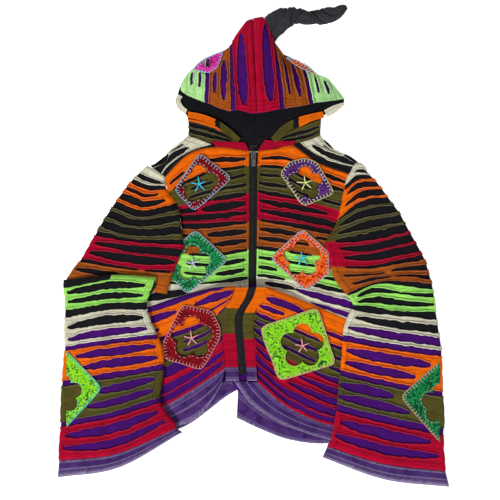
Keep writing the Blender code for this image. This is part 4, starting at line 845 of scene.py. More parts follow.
def cut_from(piece, places, rests_on="back"):
    wide = max(LEAST_SIDE, *(run_lengths(row)[-1] for row in places))
    long = max(LEAST_SIDE, *(run_lengths(column)[-1] for column in zip(*places)))
    area = 0.0
    for row, below in zip(places, places[1:]):
        for a, b, c, d in zip(row, row[1:], below[1:], below):
            area += ((c - a).cross(d - b)).length / 2
    declare(piece, wide, long, area, rests_on)


def add_cloth(name, rows, places, node, slot, grooves=(), us=(), paint=None, tube=False, held="laid",
              rests_on="back", **look):
    """Makes a piece of cloth from its rows and prints its cut."""
    mesh, cloths = cloth_mesh(rows, grooves, us, paint)
    if tube:
        weld(mesh)
    turn_up(mesh, tube)
    cut_from(add_piece(name, mesh, cloths, node, slot, **look), places, rests_on)


print("cloth tools ready")

# %% [markdown]
# A slit edge of jersey rolls up. Half a strip is followed by eight points: from its row of stitching, flat
# over the under-layer, and then round a roll whose radius is just over a millimetre. Where the slit closes
# the same points lie flat, with a slight puff between two rows of stitching, so that roll and flat cloth
# blend along the strip.

# %% The slit layer
STEPS = 7
CURL = (-80, -30, 20, 75, 130, 185)    # where points 2 to 7 lie round the roll, in degrees
ROLLED_AT = 2.4                        # a slit that gapes this far to each side has fully rolled lips
WIDEST = 0.8                           # a slit takes at most this share of the space between two rows
WOBBLE = 1.3                           # how far a row of stitching wanders
EDGE = 6.0                             # width of the plain cloth along a panel's own edges
TIP = 0.03                             # a slit's drawn-out tips, past its stated ends
GROOVE_DEPTH = 0.45                    # how deep the stitching across the strips presses them down
LOWEST = 0.2                           # no cloth of this layer lies lower than this


def gape(slits, u):
    """Half the width of the slits above a strip, at u along it."""
    for start, end, wide in slits:
        start, end = start - TIP, end + TIP
        if start < u < end:
            return wide / 2 * math.sin(math.pi * (u - start) / (end - start)) ** 0.38
    return 0.0


def half_strip(k, half, reach, share):
    """Point k of half a strip, as its distance from the row of stitching and its height."""
    flat = Vector(((half - reach) * k / STEPS, PUFF * math.sin(math.pi / 2 * k / STEPS)))
    if share <= 0:
        return flat
    radius = min(ROLL, (half - reach) * 0.45)
    edge = half - reach - radius
    if k < 2:
        curled = Vector((edge * k / 2, 0.1 * k))
    else:
        turn = math.radians(CURL[k - 2])
        curled = Vector((edge + radius * math.cos(turn), radius + radius * math.sin(turn)))
    return flat.lerp(curled, share)


def upright(places):
    """The direction off the cloth at each point of some rows."""
    tall, wide = len(places), len(places[0])
    found = []
    for i in range(tall):
        line = []
        for c in range(wide):
            down = places[min(i + 1, tall - 1)][c] - places[max(i - 1, 0)][c]
            ahead = places[i][min(c + 1, wide - 1)] - places[i][max(c - 1, 0)]
            line.append(ahead.cross(down).normalized())
        found.append(line)
    if found[tall // 2][wide // 2].z < 0:
        found = [[-up for up in line] for line in found]
    return found


def wavy(places):
    """The rows of stitching, which wander a little as hand-guided ones do."""
    moved = [list(row) for row in places]
    for i in range(1, len(places) - 1):
        for c, point in enumerate(places[i]):
            across = (places[i + 1][c] - places[i - 1][c]).normalized()
            sway = noise.noise(Vector((point.x / 13, point.y / 13, i)))
            moved[i][c] = point + across * WOBBLE * (sway + noise.noise(Vector((point.x / 37, i, 5))))
    return moved


def smooth(t):
    t = min(1.0, max(0.0, t))
    return t * t * (3 - 2 * t)


def slit_rows(table, places, us, off, grooves=(), roll=None):
    """The rows of a slit layer, from its top edge to its hem. Its lips can be kept flat in some columns."""
    roll = roll or [1.0] * len(us)
    places = wavy(places)
    ups = upright(places)
    last = len(table) - 1
    deep = dict(grooves)
    base = [off - GROOVE_DEPTH * deep.get(c, 0.0) for c in range(len(us))]

    def plain_row(i, j, t, height, cloth, v):
        points = [places[i][c].lerp(places[j][c], t) + ups[i][c].lerp(ups[j][c], t) * (base[c] + height)
                  for c in range(len(us))]
        return Row(points, cloth, v)

    first, hem = table[0].cloth, table[last - 1].cloth
    rows = [plain_row(0, 1, 0.0, 0.1, first, -EDGE), plain_row(0, 1, 0.5, PUFF * 0.6, first, -EDGE / 2)]
    for i in range(1, last - 1):
        above, below = table[i].cloth, table[i + 1].cloth
        rows.append(plain_row(i, i, 0.0, 0.0, first if i == 1 else above, 0.0))
        halves = ([], [])
        for c, u in enumerate(us):
            a, b = places[i][c], places[i + 1][c]
            half = (b - a).length / 2
            toward = (b - a) / (2 * half)
            wide_here = gape(table[i + 1].slits, u)
            for side, start, step in ((0, a, toward), (1, b, -toward)):
                jitter = 1 + 0.3 * noise.noise(Vector((a.x / 8, a.y / 8, 3.1 * i + 7.7 * side)))
                reach = min(wide_here * jitter, WIDEST * half)
                share = smooth(reach / ROLLED_AT) * roll[c]
                column = []
                for k in range(1, STEPS + 1):
                    away, height = half_strip(k, half, reach, share)
                    t = away / (2 * half)
                    up = ups[i][c].lerp(ups[i + 1][c], t if side == 0 else 1 - t)
                    spot = start + step * away + up * (base[c] + height)
                    spot.z = max(spot.z, LOWEST)
                    column.append((spot, half * k / STEPS, share * (k / STEPS) ** 2))
                halves[side].append(column)
        for k in range(STEPS):
            points, vs, lips = (list(part) for part in zip(*(column[k] for column in halves[0])))
            rows.append(Row(points, above, vs, lips, cut=k == STEPS - 1))
        for k in reversed(range(STEPS)):
            points, vs, lips = (list(part) for part in zip(*(column[k] for column in halves[1])))
            rows.append(Row(points, below, [-v for v in vs], lips))
    for t, height in ((0.0, 0.0), (0.5, PUFF * 0.6), (1.0, 0.1)):
        rows.append(plain_row(last - 1, last, t, height, hem, EDGE * t))
    return rows


def spread(count, seams=(), groove=0.008):
    """Places along a strip: evenly spaced, with three more for each seam that crosses the strips."""
    us = {round(k / count, 4): 0.0 for k in range(count + 1)}
    for seam in seams:
        for near in [u for u in us if abs(u - seam) < groove * 1.4 and 0 < u < 1]:
            del us[near]
        us.update({seam - groove: 0.0, seam: 1.0, seam + groove: 0.0})
    ordered = sorted(us)
    return ordered, [(c, us[u]) for c, u in enumerate(ordered) if us[u]]


print("slit layer ready")

# %% [markdown]
# A fold of cloth shows as a soft lip. The waist is folded under, and so is the left elbow: there the first
# strip goes on round the fold and down to the layer below, as a half circle as high as the fold.

# %% Panels of the body
FOLD_TURNS = [math.radians(turn) for turn in (-75, -45, -10, 25, 60)]
FOLD_BULGE = 2.0       # how far the waist fold stands out over the cloth below it
LINING_COLUMNS = 26    # the under-layer is smooth, so it needs few points across
LINING_V = (5.0, 4.0)  # its V on the first row, past the half width of a seam, and its step from row to row


def settle(point, level):
    return Vector((point.x, point.y, level + point.z + crumple(point.x, point.y)))


def laid(table, us):
    return [[settle(along(strip.line, u), FRONT_Z) for u in us] for strip in table]


def round_fold(strip, us, level):
    """Rows that go down and under from a lifted first row."""
    rows = []
    for angle in FOLD_TURNS:
        points = []
        for top in (along(strip.line, u) for u in us):
            half = max(top.z, 0.6) / 2
            aside = min(FOLD_BULGE, half) * math.cos(angle)
            points.append(settle(Vector((top.x, top.y + aside, half * (1 + math.sin(angle)))), level))
        rows.append(Row(points, strip.cloth, -EDGE))
    return rows


def lining_rows(places, shades):
    """The under-layer's rows: one for each strip and one between. Each slit shows one colour of it."""
    first, step = LINING_V
    rows = []
    for i, points in enumerate(places):
        rows.append(Row(points, shades(i), first + step * 2 * i))
        if i < len(places) - 1:
            middle = [(a + b) / 2 for a, b in zip(points, places[i + 1])]
            rows.append(Row(middle, shades(i + 1), first + step * (2 * i + 1)))
    return rows


grounds = {}           # the surface that each panel's patches lie on


def ground_of(name, places):
    mesh = grid(len(places[0]) - 1, len(places) - 1)
    for point in mesh.verts:
        point.co = places[round(point.co.y)][round(point.co.x)]
    turn_up(mesh)
    grounds[name] = BVHTree.FromBMesh(mesh)
    mesh.free()


def panel(name, table, count, seams, shades, folded=False, paint=None, lining_paint=None):
    """A panel of the garment: its under-layer, and the slit layer on it. Each can be painted in places."""
    us, grooves = spread(count, seams)
    places = laid(table, us)
    rows = slit_rows(table, places, us, SKIN_OFF, grooves)
    if folded:
        rows = round_fold(table[0], us, FRONT_Z + SKIN_OFF) + rows
    add_cloth("slit_" + name, rows, places, "cut_" + name, "striped_jersey", grooves, us, paint,
              rests_on="lining_" + name, wall=SKIN)
    few = shares(LINING_COLUMNS)
    base = laid(table, few)
    add_cloth("lining_" + name, lining_rows(base, shades), base, name, shades(1) + "_lining", us=few,
              paint=lining_paint, wall=LINING)
    ground_of(name, base)


def until(row):
    """The under-layer is black down to a row, and purple from there on."""
    return lambda i: "black" if i < row else "purple"


ALL_BLACK, ALL_PURPLE = until(99), until(0)
OUTLINE_ROWS = 2 * STEPS + 8     # the shoulder's rows that run into its outline, where only black shows

panel("front_upper_left", FRONT_UPPER_LEFT, 56, (0.93, 0.97), ALL_BLACK)
panel("front_upper_right", FRONT_UPPER_RIGHT, 56, (0.03, 0.065), ALL_BLACK,
      lining_paint=lambda r, u, spot, cloth: "purple" if r > 29 and u > 0.44 else cloth)
panel("front_lower_left", FRONT_LOWER_LEFT, 52, (0.965,), ALL_PURPLE, folded=True,
      paint=lambda r, u, spot, cloth: "orange" if cloth == "purple" and u > 0.93 - 0.02 * r else cloth)
panel("front_lower_right", FRONT_LOWER_RIGHT, 54, (0.03,), ALL_PURPLE, folded=True)
panel("shoulder_left", SHOULDER_LEFT, 30, (0.9,), ALL_BLACK,
      paint=lambda r, u, spot, cloth: "black" if r < OUTLINE_ROWS and u < 0.42 else cloth)
panel("shoulder_right", SHOULDER_RIGHT, 30, (0.1,), ALL_BLACK,
      paint=lambda r, u, spot, cloth: "black" if r < OUTLINE_ROWS and u > 0.6 else cloth)
for name, table in (("hood_crown_left", CROWN_LEFT), ("hood_crown_right", CROWN_RIGHT)):
    panel(name, table, 52, (0.88, 0.925, 0.97), ALL_PURPLE)

# %% [markdown]
# A sleeve laid flat is a tube pressed almost shut: an underside, a rounded fold, an upper side, and the
# fold at the body's side. Its ring is given as places across it with a turn round each fold. Near the
# armhole the ring stays open, because there the sleeve goes on into the body.

# %% The ring of a sleeve
ARMHOLE = 0.998
TUCK = 4.0             # how far a sleeve's edge reaches over the body at the armhole
TURNS = (-30, 0, 30, 60)
TUBE_STEPS = 22        # points along each of the tube's two sides
UNDERSIDE = 25         # the part of the tube's ring that doesn't show from above
SLIT_OFF = 0.15        # the slit layer's underside, off the upper side
ELBOW_BULGE = 3.2      # how far the folded elbow stands out over the cloth above it


def over_body(s):
    """How much of the sleeve's lift applies: all of it near the body, none at the sleeve's outer fold."""
    return min(1.0, max(0.0, (s - FOLD_S) / 0.39))


def fold_side(turn, right):
    """Where a turn round a fold lies across the sleeve."""
    s = FOLD_S * (1 - math.cos(math.radians(turn)))
    return 1 - s if right else s


def top_ring(count, seams=()):
    """The ring of the slit layer: round one fold, over the upper side, and round the other fold."""
    us = [u for u in spread(count, seams)[0] if FOLD_S < u < 1 - FOLD_S]
    seam_us = {round(s, 4) for s in seams}
    ring = [(fold_side(turn, False), turn) for turn in TURNS] + [(FOLD_S, 90)]
    ring += [(u, 90) for u in us] + [(1 - FOLD_S, 90)]
    ring += [(fold_side(turn, True), turn) for turn in reversed(TURNS)]
    return ring, [(c, 1.0) for c, (u, turn) in enumerate(ring) if round(u, 4) in seam_us]


def whole_ring(count):
    """The ring of the tube: along the underside, round a fold, over the upper side and back."""
    flat = [FOLD_S + (1 - 2 * FOLD_S) * k / count for k in range(count + 1)]
    turns = (-60, -30, 0, 30, 60)
    ring = [(u, -90) for u in reversed(flat)] + [(fold_side(turn, False), turn) for turn in turns]
    ring += [(u, 90) for u in flat] + [(fold_side(turn, True), turn) for turn in reversed(turns)]
    ring.append(ring[0])
    return ring


def ring_places(lines, bodies, ring, outer_left, open_rows=-1, tucks=()):
    """The points of each ring of a sleeve. Across it, s runs from its outer fold to the body."""
    tucks = dict(tucks)
    rows = []
    for k, stations in enumerate(lines):
        row = []
        for u, turn in ring:
            s = u if outer_left else 1 - u
            level = math.sin(math.radians(turn))
            into_body = k <= open_rows and s >= 1 - FOLD_S - 0.001
            if into_body:
                s = ARMHOLE
                level = math.copysign(1.0, level + 0.1)
            place = along(stations, s if outer_left else 1 - s)
            if into_body:
                end, near = (1.0, 0.97) if outer_left else (0.0, 0.03)
                place += (along(stations, end) - along(stations, near)).normalized() * TUCK
            share = (1 + level) / 2
            lifted = 1.0 if k in tucks else share
            high = SLEEVE_DEPTH * share + bodies[k] * over_body(s) + place.z * lifted
            drop = tucks.get(k, 0.0) * s * (1 - share)
            row.append(Vector((place.x, place.y - drop, high + crumple(place.x, place.y) * share)))
        rows.append(row)
    return rows


def between(values):
    """Ring values given to strips: each strip lies midway between two rings."""
    last = len(values) - 1
    return [(values[max(0, min(k - 1, last))] + values[min(k, last)]) / 2 for k in range(last + 2)]


print("ring of", len(whole_ring(TUBE_STEPS)), "points")

# %% Sleeves
def sleeve(name, table, rising, outer_left, count, seams, shades, open_rows=-1, tucks=(), folded=False,
           paint=None):
    """A sleeve: the pressed tube of the under-layer, and the slit layer over its upper side."""
    lines = [strip.line for strip in table]
    heights = between(rising + [SLEEVE_LIFT] * (len(table) - 1 - len(rising)))
    ring, grooves = top_ring(count, seams)
    places = ring_places(lines, heights, ring, outer_left, open_rows)
    us = [u for u, turn in ring]
    rows = slit_rows(table, places, us, SLIT_OFF, grooves, [float(turn == 90) for u, turn in ring])
    if folded:
        rolled = []
        for angle in FOLD_TURNS:
            points = []
            for top in rows[0].points:
                half = max(top.z - SLEEVE_DEPTH - 2.0, 1.0) / 2
                points.append(top + Vector((0, ELBOW_BULGE * math.cos(angle), half * (math.sin(angle) - 1))))
            rolled.append(Row(points, table[0].cloth, -EDGE))
        rows = rolled + rows
    held = "folded" if folded else "laid"
    add_cloth("slit_" + name, rows, places, "cut_" + name, "striped_jersey", grooves, us, paint, held=held,
              rests_on="lining_" + name, wall=SKIN)
    tube = whole_ring(TUBE_STEPS)
    base = ring_places(lines, heights, tube, outer_left, open_rows, tucks)

    def outside(r, c, spot, cloth):
        """The underside shows the coloured layer, which is one sheet with its lining there."""
        return table[(r + 1) // 2].cloth if c < UNDERSIDE else cloth

    add_cloth("lining_" + name, lining_rows(base, shades), base, name, "black_lining", us=range(len(tube)),
              paint=outside, tube=True, held=held, wall=TUBE_WALL, offset=-1.0)
    ground_of(name, places)


sleeve("sleeve_left_upper", SLEEVE_LEFT_UPPER, [0.0] * 5 + [1.0, 4.5], True, 46, (), ALL_BLACK, open_rows=6)
sleeve("sleeve_left_lower", SLEEVE_LEFT_LOWER, [], True, 56, (0.93, 0.965), until(6), folded=True,
       tucks=((0, 18), (1, 14), (2, 8), (3, 3)),
       paint=lambda r, u, spot, cloth: "green" if cloth == "black" and u > 0.46 else cloth)
sleeve("sleeve_right", SLEEVE_RIGHT, [0.0] * 5 + [1.0, 3.5, 6.2], False, 56, (0.05,), until(20), open_rows=6)

# %% [markdown]
# Everything else is plain cloth between stations: hems, facings, bands and the back. A smooth sheet goes
# through the rows of stations. Rows of stitching press it down, and it puffs up a little between them.

# %% The plain pieces' stations
HOOD_BACK = read_lines("""
-110,186.5 -74,171 -36.5,162.5 1,159.5 40,162.5 77.5,171 113.5,186.5
-111.5,215 1,200 115,216
-120.5,232 1,225 142,234
-129,251 1,251 154,247.5
-122.5,274.5 2.5,276 133.5,271
-107,296 1,298.5 102,291.5
-84,317 -4,315.5 70.5,315.5
-47,332.5 -6,330.5 40,330.5
-33,349.5 -2.5,347.5 33,347.5
-19.5,366.5 4,366.5 26.5,366.5
-11,381.5 4,383.5 18,386
""")
BACK = read_lines("""
-173.5,134 -142,158.5 -109.5,182 -53.5,163 1,158.5 57,163 112.5,182 145.5,155.5 176,139.5
-150.5,114 156,113
-139.5,79 152,79
-127.5,58.5 148,57
-122.5,36.5 143,38
-121.5,16 128.5,14.5
-145.5,-6 143.5,-13
-176,-33 167.5,-33
-188,-75.5 183,-75.5
-193,-135 189.5,-135
-194,-198 191,-198
-188,-305 -138.5,-286.5 -86,-259 -43.5,-229.5 -26.5,-247.5 14.5,-283 62,-303.5 121.5,-310 184.5,-302
""")
BACK_HEM_LEFT = (
    sewn_to(BACK[-1], [*(k / 16 for k in range(8)), 0.49], SEAM - 1.6),
    read_line("-186,-330.5 -116.5,-307 -77.5,-280.5 -50,-259 -29.5,-246"),
)
BACK_HEM_RIGHT = (
    sewn_to(BACK[-1], [k / 16 for k in range(8, 17)], SEAM - 0.6),
    read_line("-28.5,-293 14.5,-313 62,-330 121.5,-336.5 184.5,-324"),
)
PLACES = (0, 0.14, 0.33, 0.5, 0.67, 0.84, 0.94, 1)
HEM_FRONT_LEFT = (
    sewn_to(FRONT_LOWER_LEFT[-1].line, PLACES, SEAM),
    read_line("-188,-320.5 -122.5,-304.5 -92.5,-289 -69,-261,1 -53,-232,4"),
)
HEM_FRONT_RIGHT = (
    sewn_to(FRONT_LOWER_RIGHT[-1].line, PLACES, SEAM),
    read_line("-32.5,-230.5 -7.5,-265 33,-294.5 75.5,-313.5 126.5,-329 184.5,-342.5"),
)
NECK_BAND_LEFT = (
    read_line("-72,177 -50,176 -31.5,175.5 -15,174.5"),
    sewn_to(FRONT_UPPER_LEFT[0].line, PLACES[4:], -SEAM),
)
NECK_BAND_RIGHT = (
    read_line("20,179 33,178 52,177 72,177"),
    sewn_to(FRONT_UPPER_RIGHT[0].line, PLACES[:4], -SEAM),
)
HOOD_EDGE_LEFT = read_lines("""
-111,227 -86,222 -62,212.5 -41.5,199 -22,181
-112,217 -87.5,211.5 -65.5,203 -47,188.5 -27,175
""")
HOOD_EDGE_RIGHT = read_lines("""
30,182 48.5,202.5 72,215.5 94.5,222.5 117.5,227
37.5,174 58.5,194 79,201.5 99.5,211 120,217
""")
HOOD_CORNER_LEFT = read_lines("""
-128,256.5 -132.5,247.5 -128.5,234 -115.5,223
-120.5,252.5 -124,245.5 -120,237 -112.5,230.5
""")
HOOD_CORNER_RIGHT = read_lines("""
149.5,242 135,237 120,229.5
155.5,240 143,228 125,217.5
""")
NECK_LABEL = read_lines("""
-7,171 10,171
-7,162 7,162
""")
print("the back's rows", len(BACK), "and the hood's", len(HOOD_BACK))

# %% [markdown]
# A band gets its rows of stitching as shares of its width. V is measured from the nearest row, so that the
# shader sews every one of them, and the edges that are rubbed pale say so in "lip".

# %% Bands, hems and facings
GROOVE = 1.6           # half width of the groove along a row of stitching
RUBBED = 0.18          # the share of a band's width that is rubbed pale along an edge
FACING_ENDS = {"orange": -104.5, "olive": -147}    # how far down the facing's first two colours go
FACING_STEP = 6.5      # and how much lower each of them ends on the right side
FACING = 2.6           # thickness of a facing
NECK_BAND = (FRONT_Z + 2.2, 0.9)       # a neck band's underside and thickness
HOOD_EDGE_Z = 4.2


def quilt(rows, us, ts, level, front):
    """A smooth sheet through rows of stations. The front's pieces share its creases."""
    columns = [[along(row, u) for row in rows] for u in us]
    places = []
    for t in ts:
        spots = [along(column, t) for column in columns]
        for spot in spots:
            spot.z += level + (crumple(spot.x, spot.y) if front else 0.0)
        places.append(spots)
    return places


def band(name, rows, level, thick, cloth, slot="edging_jersey", wide=60, tall=12, stitches=(), puff=0.5,
         worn=(0.0, 0.0), crossing=(), front=True, paint=None):
    """A plain piece of cloth, stitched along its rows."""
    ts = sorted({round(k / tall, 4) for k in range(tall + 1)} | set(stitches))
    us, grooves = spread(wide, crossing)
    places = quilt(rows, us, ts, level, front)
    middle = len(us) // 2
    across = run_lengths([row[middle] for row in places])[-1]
    made = []
    for t, points in zip(ts, places):
        near = min(stitches, key=lambda s: abs(s - t)) if stitches else 9.0
        v = (t - near) * across
        rise = puff * (1 - math.exp(-(v / GROOVE) ** 2)) * (0.6 + 0.4 * math.sin(math.pi * t))
        lip = max(worn[0] * (1 - min(t / RUBBED, 1.0)), worn[1] * (1 - min((1 - t) / RUBBED, 1.0)))
        sewn = float(t in stitches and cloth == "washed")
        made.append(Row([p + Vector((0, 0, rise)) for p in points], cloth, v, lip, sewn))
    add_cloth(name, made, [row.points for row in made], name, slot, grooves, us, paint,
              rests_on="back" if front else "floor", wall=thick, rim=min(0.3, thick * 0.3))


def edge_shade(low, high, first, second):
    """Two colours along the hood's edge, with a black piece between them."""
    return lambda r, u, spot, cloth: first if spot.x < low else second if spot.x > high else "black"


def facing_shade(r, u, spot, cloth):
    """The facing beside the zip goes through the garment's own bands of colour, lower on its right side."""
    high = spot.y + (FACING_STEP if spot.x > zip_at(spot.y, True)[0] else 0.0)
    return next((name for name, end in FACING_ENDS.items() if high > end), "red")


def facing(side, first, last):
    rows = []
    for x, y, lift in FOLD_PATH[first:last]:
        ends = (x + side * (ZIP_HALF + SEAM), x + side * (ZIP_HALF + SEAM + FACINGS[side]))
        rows.append([(place, y, lift) for place in sorted(ends)])
    return rows


RIB = "washed_purple_rib"
for side, name in ((LEFT, "left"), (RIGHT, "right")):
    band("placket_" + name, facing(side, 0, 7), FRONT_Z, FACING, "orange", wide=14, tall=50,
         stitches=(0.05, 0.28, 0.47, 0.66, 0.8, 0.95), crossing=(0.12, 0.4, 0.68, 0.92), paint=facing_shade)
    band("placket_hem_" + name, facing(side, 7, 9), FRONT_Z, FACING, "washed", RIB, wide=24,
         stitches=(0.25, 0.75), worn=(0.6, 1.0))
for name, rows, wide in (("left", HEM_FRONT_LEFT, 60), ("right", HEM_FRONT_RIGHT, 70)):
    band("hem_front_" + name, rows, FRONT_Z, LINING, "washed", RIB, wide, stitches=(0.2, 0.5, 0.84),
         worn=(0.5, 1.0))
for name, rows in (("left", BACK_HEM_LEFT), ("right", BACK_HEM_RIGHT)):
    band("back_hem_" + name, rows, BACK_Z, LINING, "washed", RIB, stitches=(0.2, 0.8), worn=(0.4, 1.0),
         puff=0.3, front=False)
for name, rows in (("left", NECK_BAND_LEFT), ("right", NECK_BAND_RIGHT)):
    band("neck_band_" + name, rows, *NECK_BAND, "red", wide=30, stitches=(0.22, 0.8), puff=0.2)
for name, rows, crossing, paint in (
        ("left", HOOD_EDGE_LEFT, (0.26, 0.52, 0.76), edge_shade(-66, -57, "orange", "olive")),
        ("right", HOOD_EDGE_RIGHT, (0.24, 0.5, 0.76), edge_shade(66, 76, "olive", "orange"))):
    band("hood_edge_" + name, rows, HOOD_EDGE_Z, LINING, "orange", wide=44, tall=10, stitches=(0.3, 0.72),
         crossing=crossing, paint=paint)
for name, rows in (("left", HOOD_CORNER_LEFT), ("right", HOOD_CORNER_RIGHT)):
    band("hood_corner_" + name, rows, FRONT_Z, LINING, "ivory", wide=30, tall=8, stitches=(0.3,), puff=1.0)
band("neck_label", NECK_LABEL, FRONT_Z, 0.8, "label", "label", wide=14, tall=9, puff=0.0)
band("hood_back", HOOD_BACK, BACK_Z, LINING, "black", "black_lining", tall=60, stitches=(0.06,),
     crossing=(0.5,), front=False,
     paint=lambda r, u, spot, cloth: "seam_tape" if abs(u - 0.525) < 0.0075 else cloth)

# %% [markdown]
# The back is made like the fronts, but seen from below: its slit layer lies on the floor and its lining on
# that. It has no photo to follow, so its bands keep the fronts' order of colours and their pitch.

# %% The back, the hood's lower sides and the cuffs
ORDER = ("ivory", "orange", "olive", "red", "brown", "green", "ivory", "orange", "olive", "red")
BACK_STRIPS = 27
BACK_PRESSED = 0.25    # the weight of the garment presses its rolls to this share of their height
CUFF_RUBS = (0.35, 0.1, 0, 0, 0, 0, 0.1, 0.35, 0.7, 1.0)    # how pale each row of a cuff is rubbed
CUFF_STITCHES = (1, 5, 8)
back_us = shares(72)
back_ts = shares(BACK_STRIPS - 1)
back_places = quilt(BACK, back_us, back_ts, 0.15, False)
back_table = []
for k in range(BACK_STRIPS):
    cloth = ORDER[min(k * len(ORDER) // BACK_STRIPS, len(ORDER) - 1)]
    bound = k and cloth != back_table[-1].cloth
    pair = ((0.05, 0.47, 10), (0.53, 0.95, 10)) if 2 < k < BACK_STRIPS - 1 else ()
    back_table.append(Strip(cloth, (), ((-1, 2, 7),) if bound else pair))
mesh, cloths = cloth_mesh(slit_rows(back_table, back_places, back_us, 0.0, (), [0.0] * len(back_us)))
bmesh.ops.scale(mesh, vec=(1, 1, BACK_PRESSED), verts=mesh.verts)
bmesh.ops.reverse_faces(mesh, faces=mesh.faces[:])
piece = add_piece("slit_back", mesh, cloths, "back", "striped_jersey", wall=0.5, offset=-1.0)
cut_from(piece, back_places, rests_on="floor")
lining_places = quilt(BACK, back_us[::2], back_ts, 1.0, False)
add_cloth("lining_back", lining_rows(lining_places, until(15)), lining_places, None, "black_lining",
          rests_on="slit_back", wall=1.1)

for name, table in (("hood_side_left", HOOD_SIDE_LEFT), ("hood_side_right", HOOD_SIDE_RIGHT)):
    us = shares(40)
    places = laid(table, us)
    add_cloth(name, slit_rows(table, places, us, 0.0), places, name, "striped_jersey", rests_on="hood_back",
              wall=SKIN)


def cuff(name, first, last, outer_left):
    """The washed band at the end of a sleeve, pressed flat like it, with three rows of stitching."""
    ends = shifted(first, SEAM), read_line(last)
    lines = [[Vector(a).lerp(Vector(b), t) for a, b in zip(*ends)] for t in shares(len(CUFF_RUBS) - 1)]
    places = ring_places(lines, [SLEEVE_LIFT] * len(lines), whole_ring(48), outer_left)
    rows = [Row(points, "washed", 3.0 * k + 4, rub, float(k in CUFF_STITCHES))
            for k, (points, rub) in enumerate(zip(places, CUFF_RUBS))]
    add_cloth(name, rows, places, name, RIB, tube=True, wall=TUBE_WALL, offset=-1.0)


cuff("cuff_left", SLEEVE_LEFT_LOWER[-1].line, "-332.5,-393.5 -227,-375 -120,-315.5", True)
cuff("cuff_right", SLEEVE_RIGHT[-1].line, "116.5,-358 220,-395 332.5,-409.5", False)

# %% [markdown]
# The tail of the hood is a rolled cone of charcoal jersey. Its section turns as it goes out, and folds run
# round it like the lay of a rope, because the cloth was twisted by hand.

# %% The twisted tail
TAIL = read_numbers("""
27 367 46 15
41 378.5 40 17
56 385 35 17
67 388.5 29 17
79 388 26 17
92 385.5 22.5 19
106 386 24.5 16
122.5 388.5 28 14
139 393.5 22 13
150.5 401 15 11
158 405 7 7
""")
MIDDLES = [(x, y, 0) for x, y, wide, high in TAIL]
SECTIONS = [(wide, high, 0) for x, y, wide, high in TAIL]
ROOT = Vector((-0.4, 0.916, 0))     # the tail is sewn into the crown's edge, which runs this way
TAIL_RINGS, TAIL_SIDES = 90, 40
TIP_X = 148            # the ring that lies past this closes the tail


def tail_ring(t):
    middle, size = along(MIDDLES, t), along(SECTIONS, t)
    ahead = along(MIDDLES, t + 0.02) - along(MIDDLES, t - 0.02)
    across = ROOT.lerp(Vector((-ahead.y, ahead.x, 0)).normalized(), smooth(t / 0.14))
    ring = []
    for k in range(TAIL_SIDES + 1):
        angle = 2 * math.pi * (k % TAIL_SIDES) / TAIL_SIDES
        lay = angle + 5.0 * math.exp(-((t - 0.48) / 0.2) ** 2) + 2.4 * t
        fold = 0.06 * math.sin(7 * lay + 9 * t) - 0.5 * (1 - abs(math.sin(1.5 * lay))) ** 3
        rumple = noise.noise(Vector((middle.x / 9 + 2 * math.cos(angle), middle.y / 9, 2 * math.sin(angle))))
        out = 1.0 + fold + 0.08 * rumple
        aside = across * math.cos(angle) * size.x / 2 * out
        high = 0.3 + size.y / 2 * (1 + math.sin(angle) * out)
        ring.append(Vector((middle.x + aside.x, middle.y + aside.y, high)))
    return ring


places = [tail_ring(t) for t in shares(TAIL_RINGS)]
mesh, cloths = cloth_mesh([Row(points, "charcoal", 5.0 + 1.6 * k) for k, points in enumerate(places)])
weld(mesh)
tip = [edge for edge in mesh.edges if edge.is_boundary and edge.verts[0].co.x > TIP_X]
bmesh.ops.edgeloop_fill(mesh, edges=tip)
turn_up(mesh, tube=True)
piece = add_piece("hood_tail", mesh, cloths, "hood_tail", "charcoal_jersey", wall=TUBE_WALL, offset=-1.0)
cut_from(piece, places, rests_on="floor")

# %% [markdown]
# Each patch is a square of printed cotton with its corners rounded and a flower cut out of its middle. It
# is laid onto the panel that it is sewn to. The embroidery is real thread: blanket stitches hold the rim,
# running stitches follow the flower, and a star of five long stitches marks its middle.

# %% Applique patches
Patch = namedtuple("Patch", "name panel cloth slot thread star middle radius corners ends", defaults=((),))
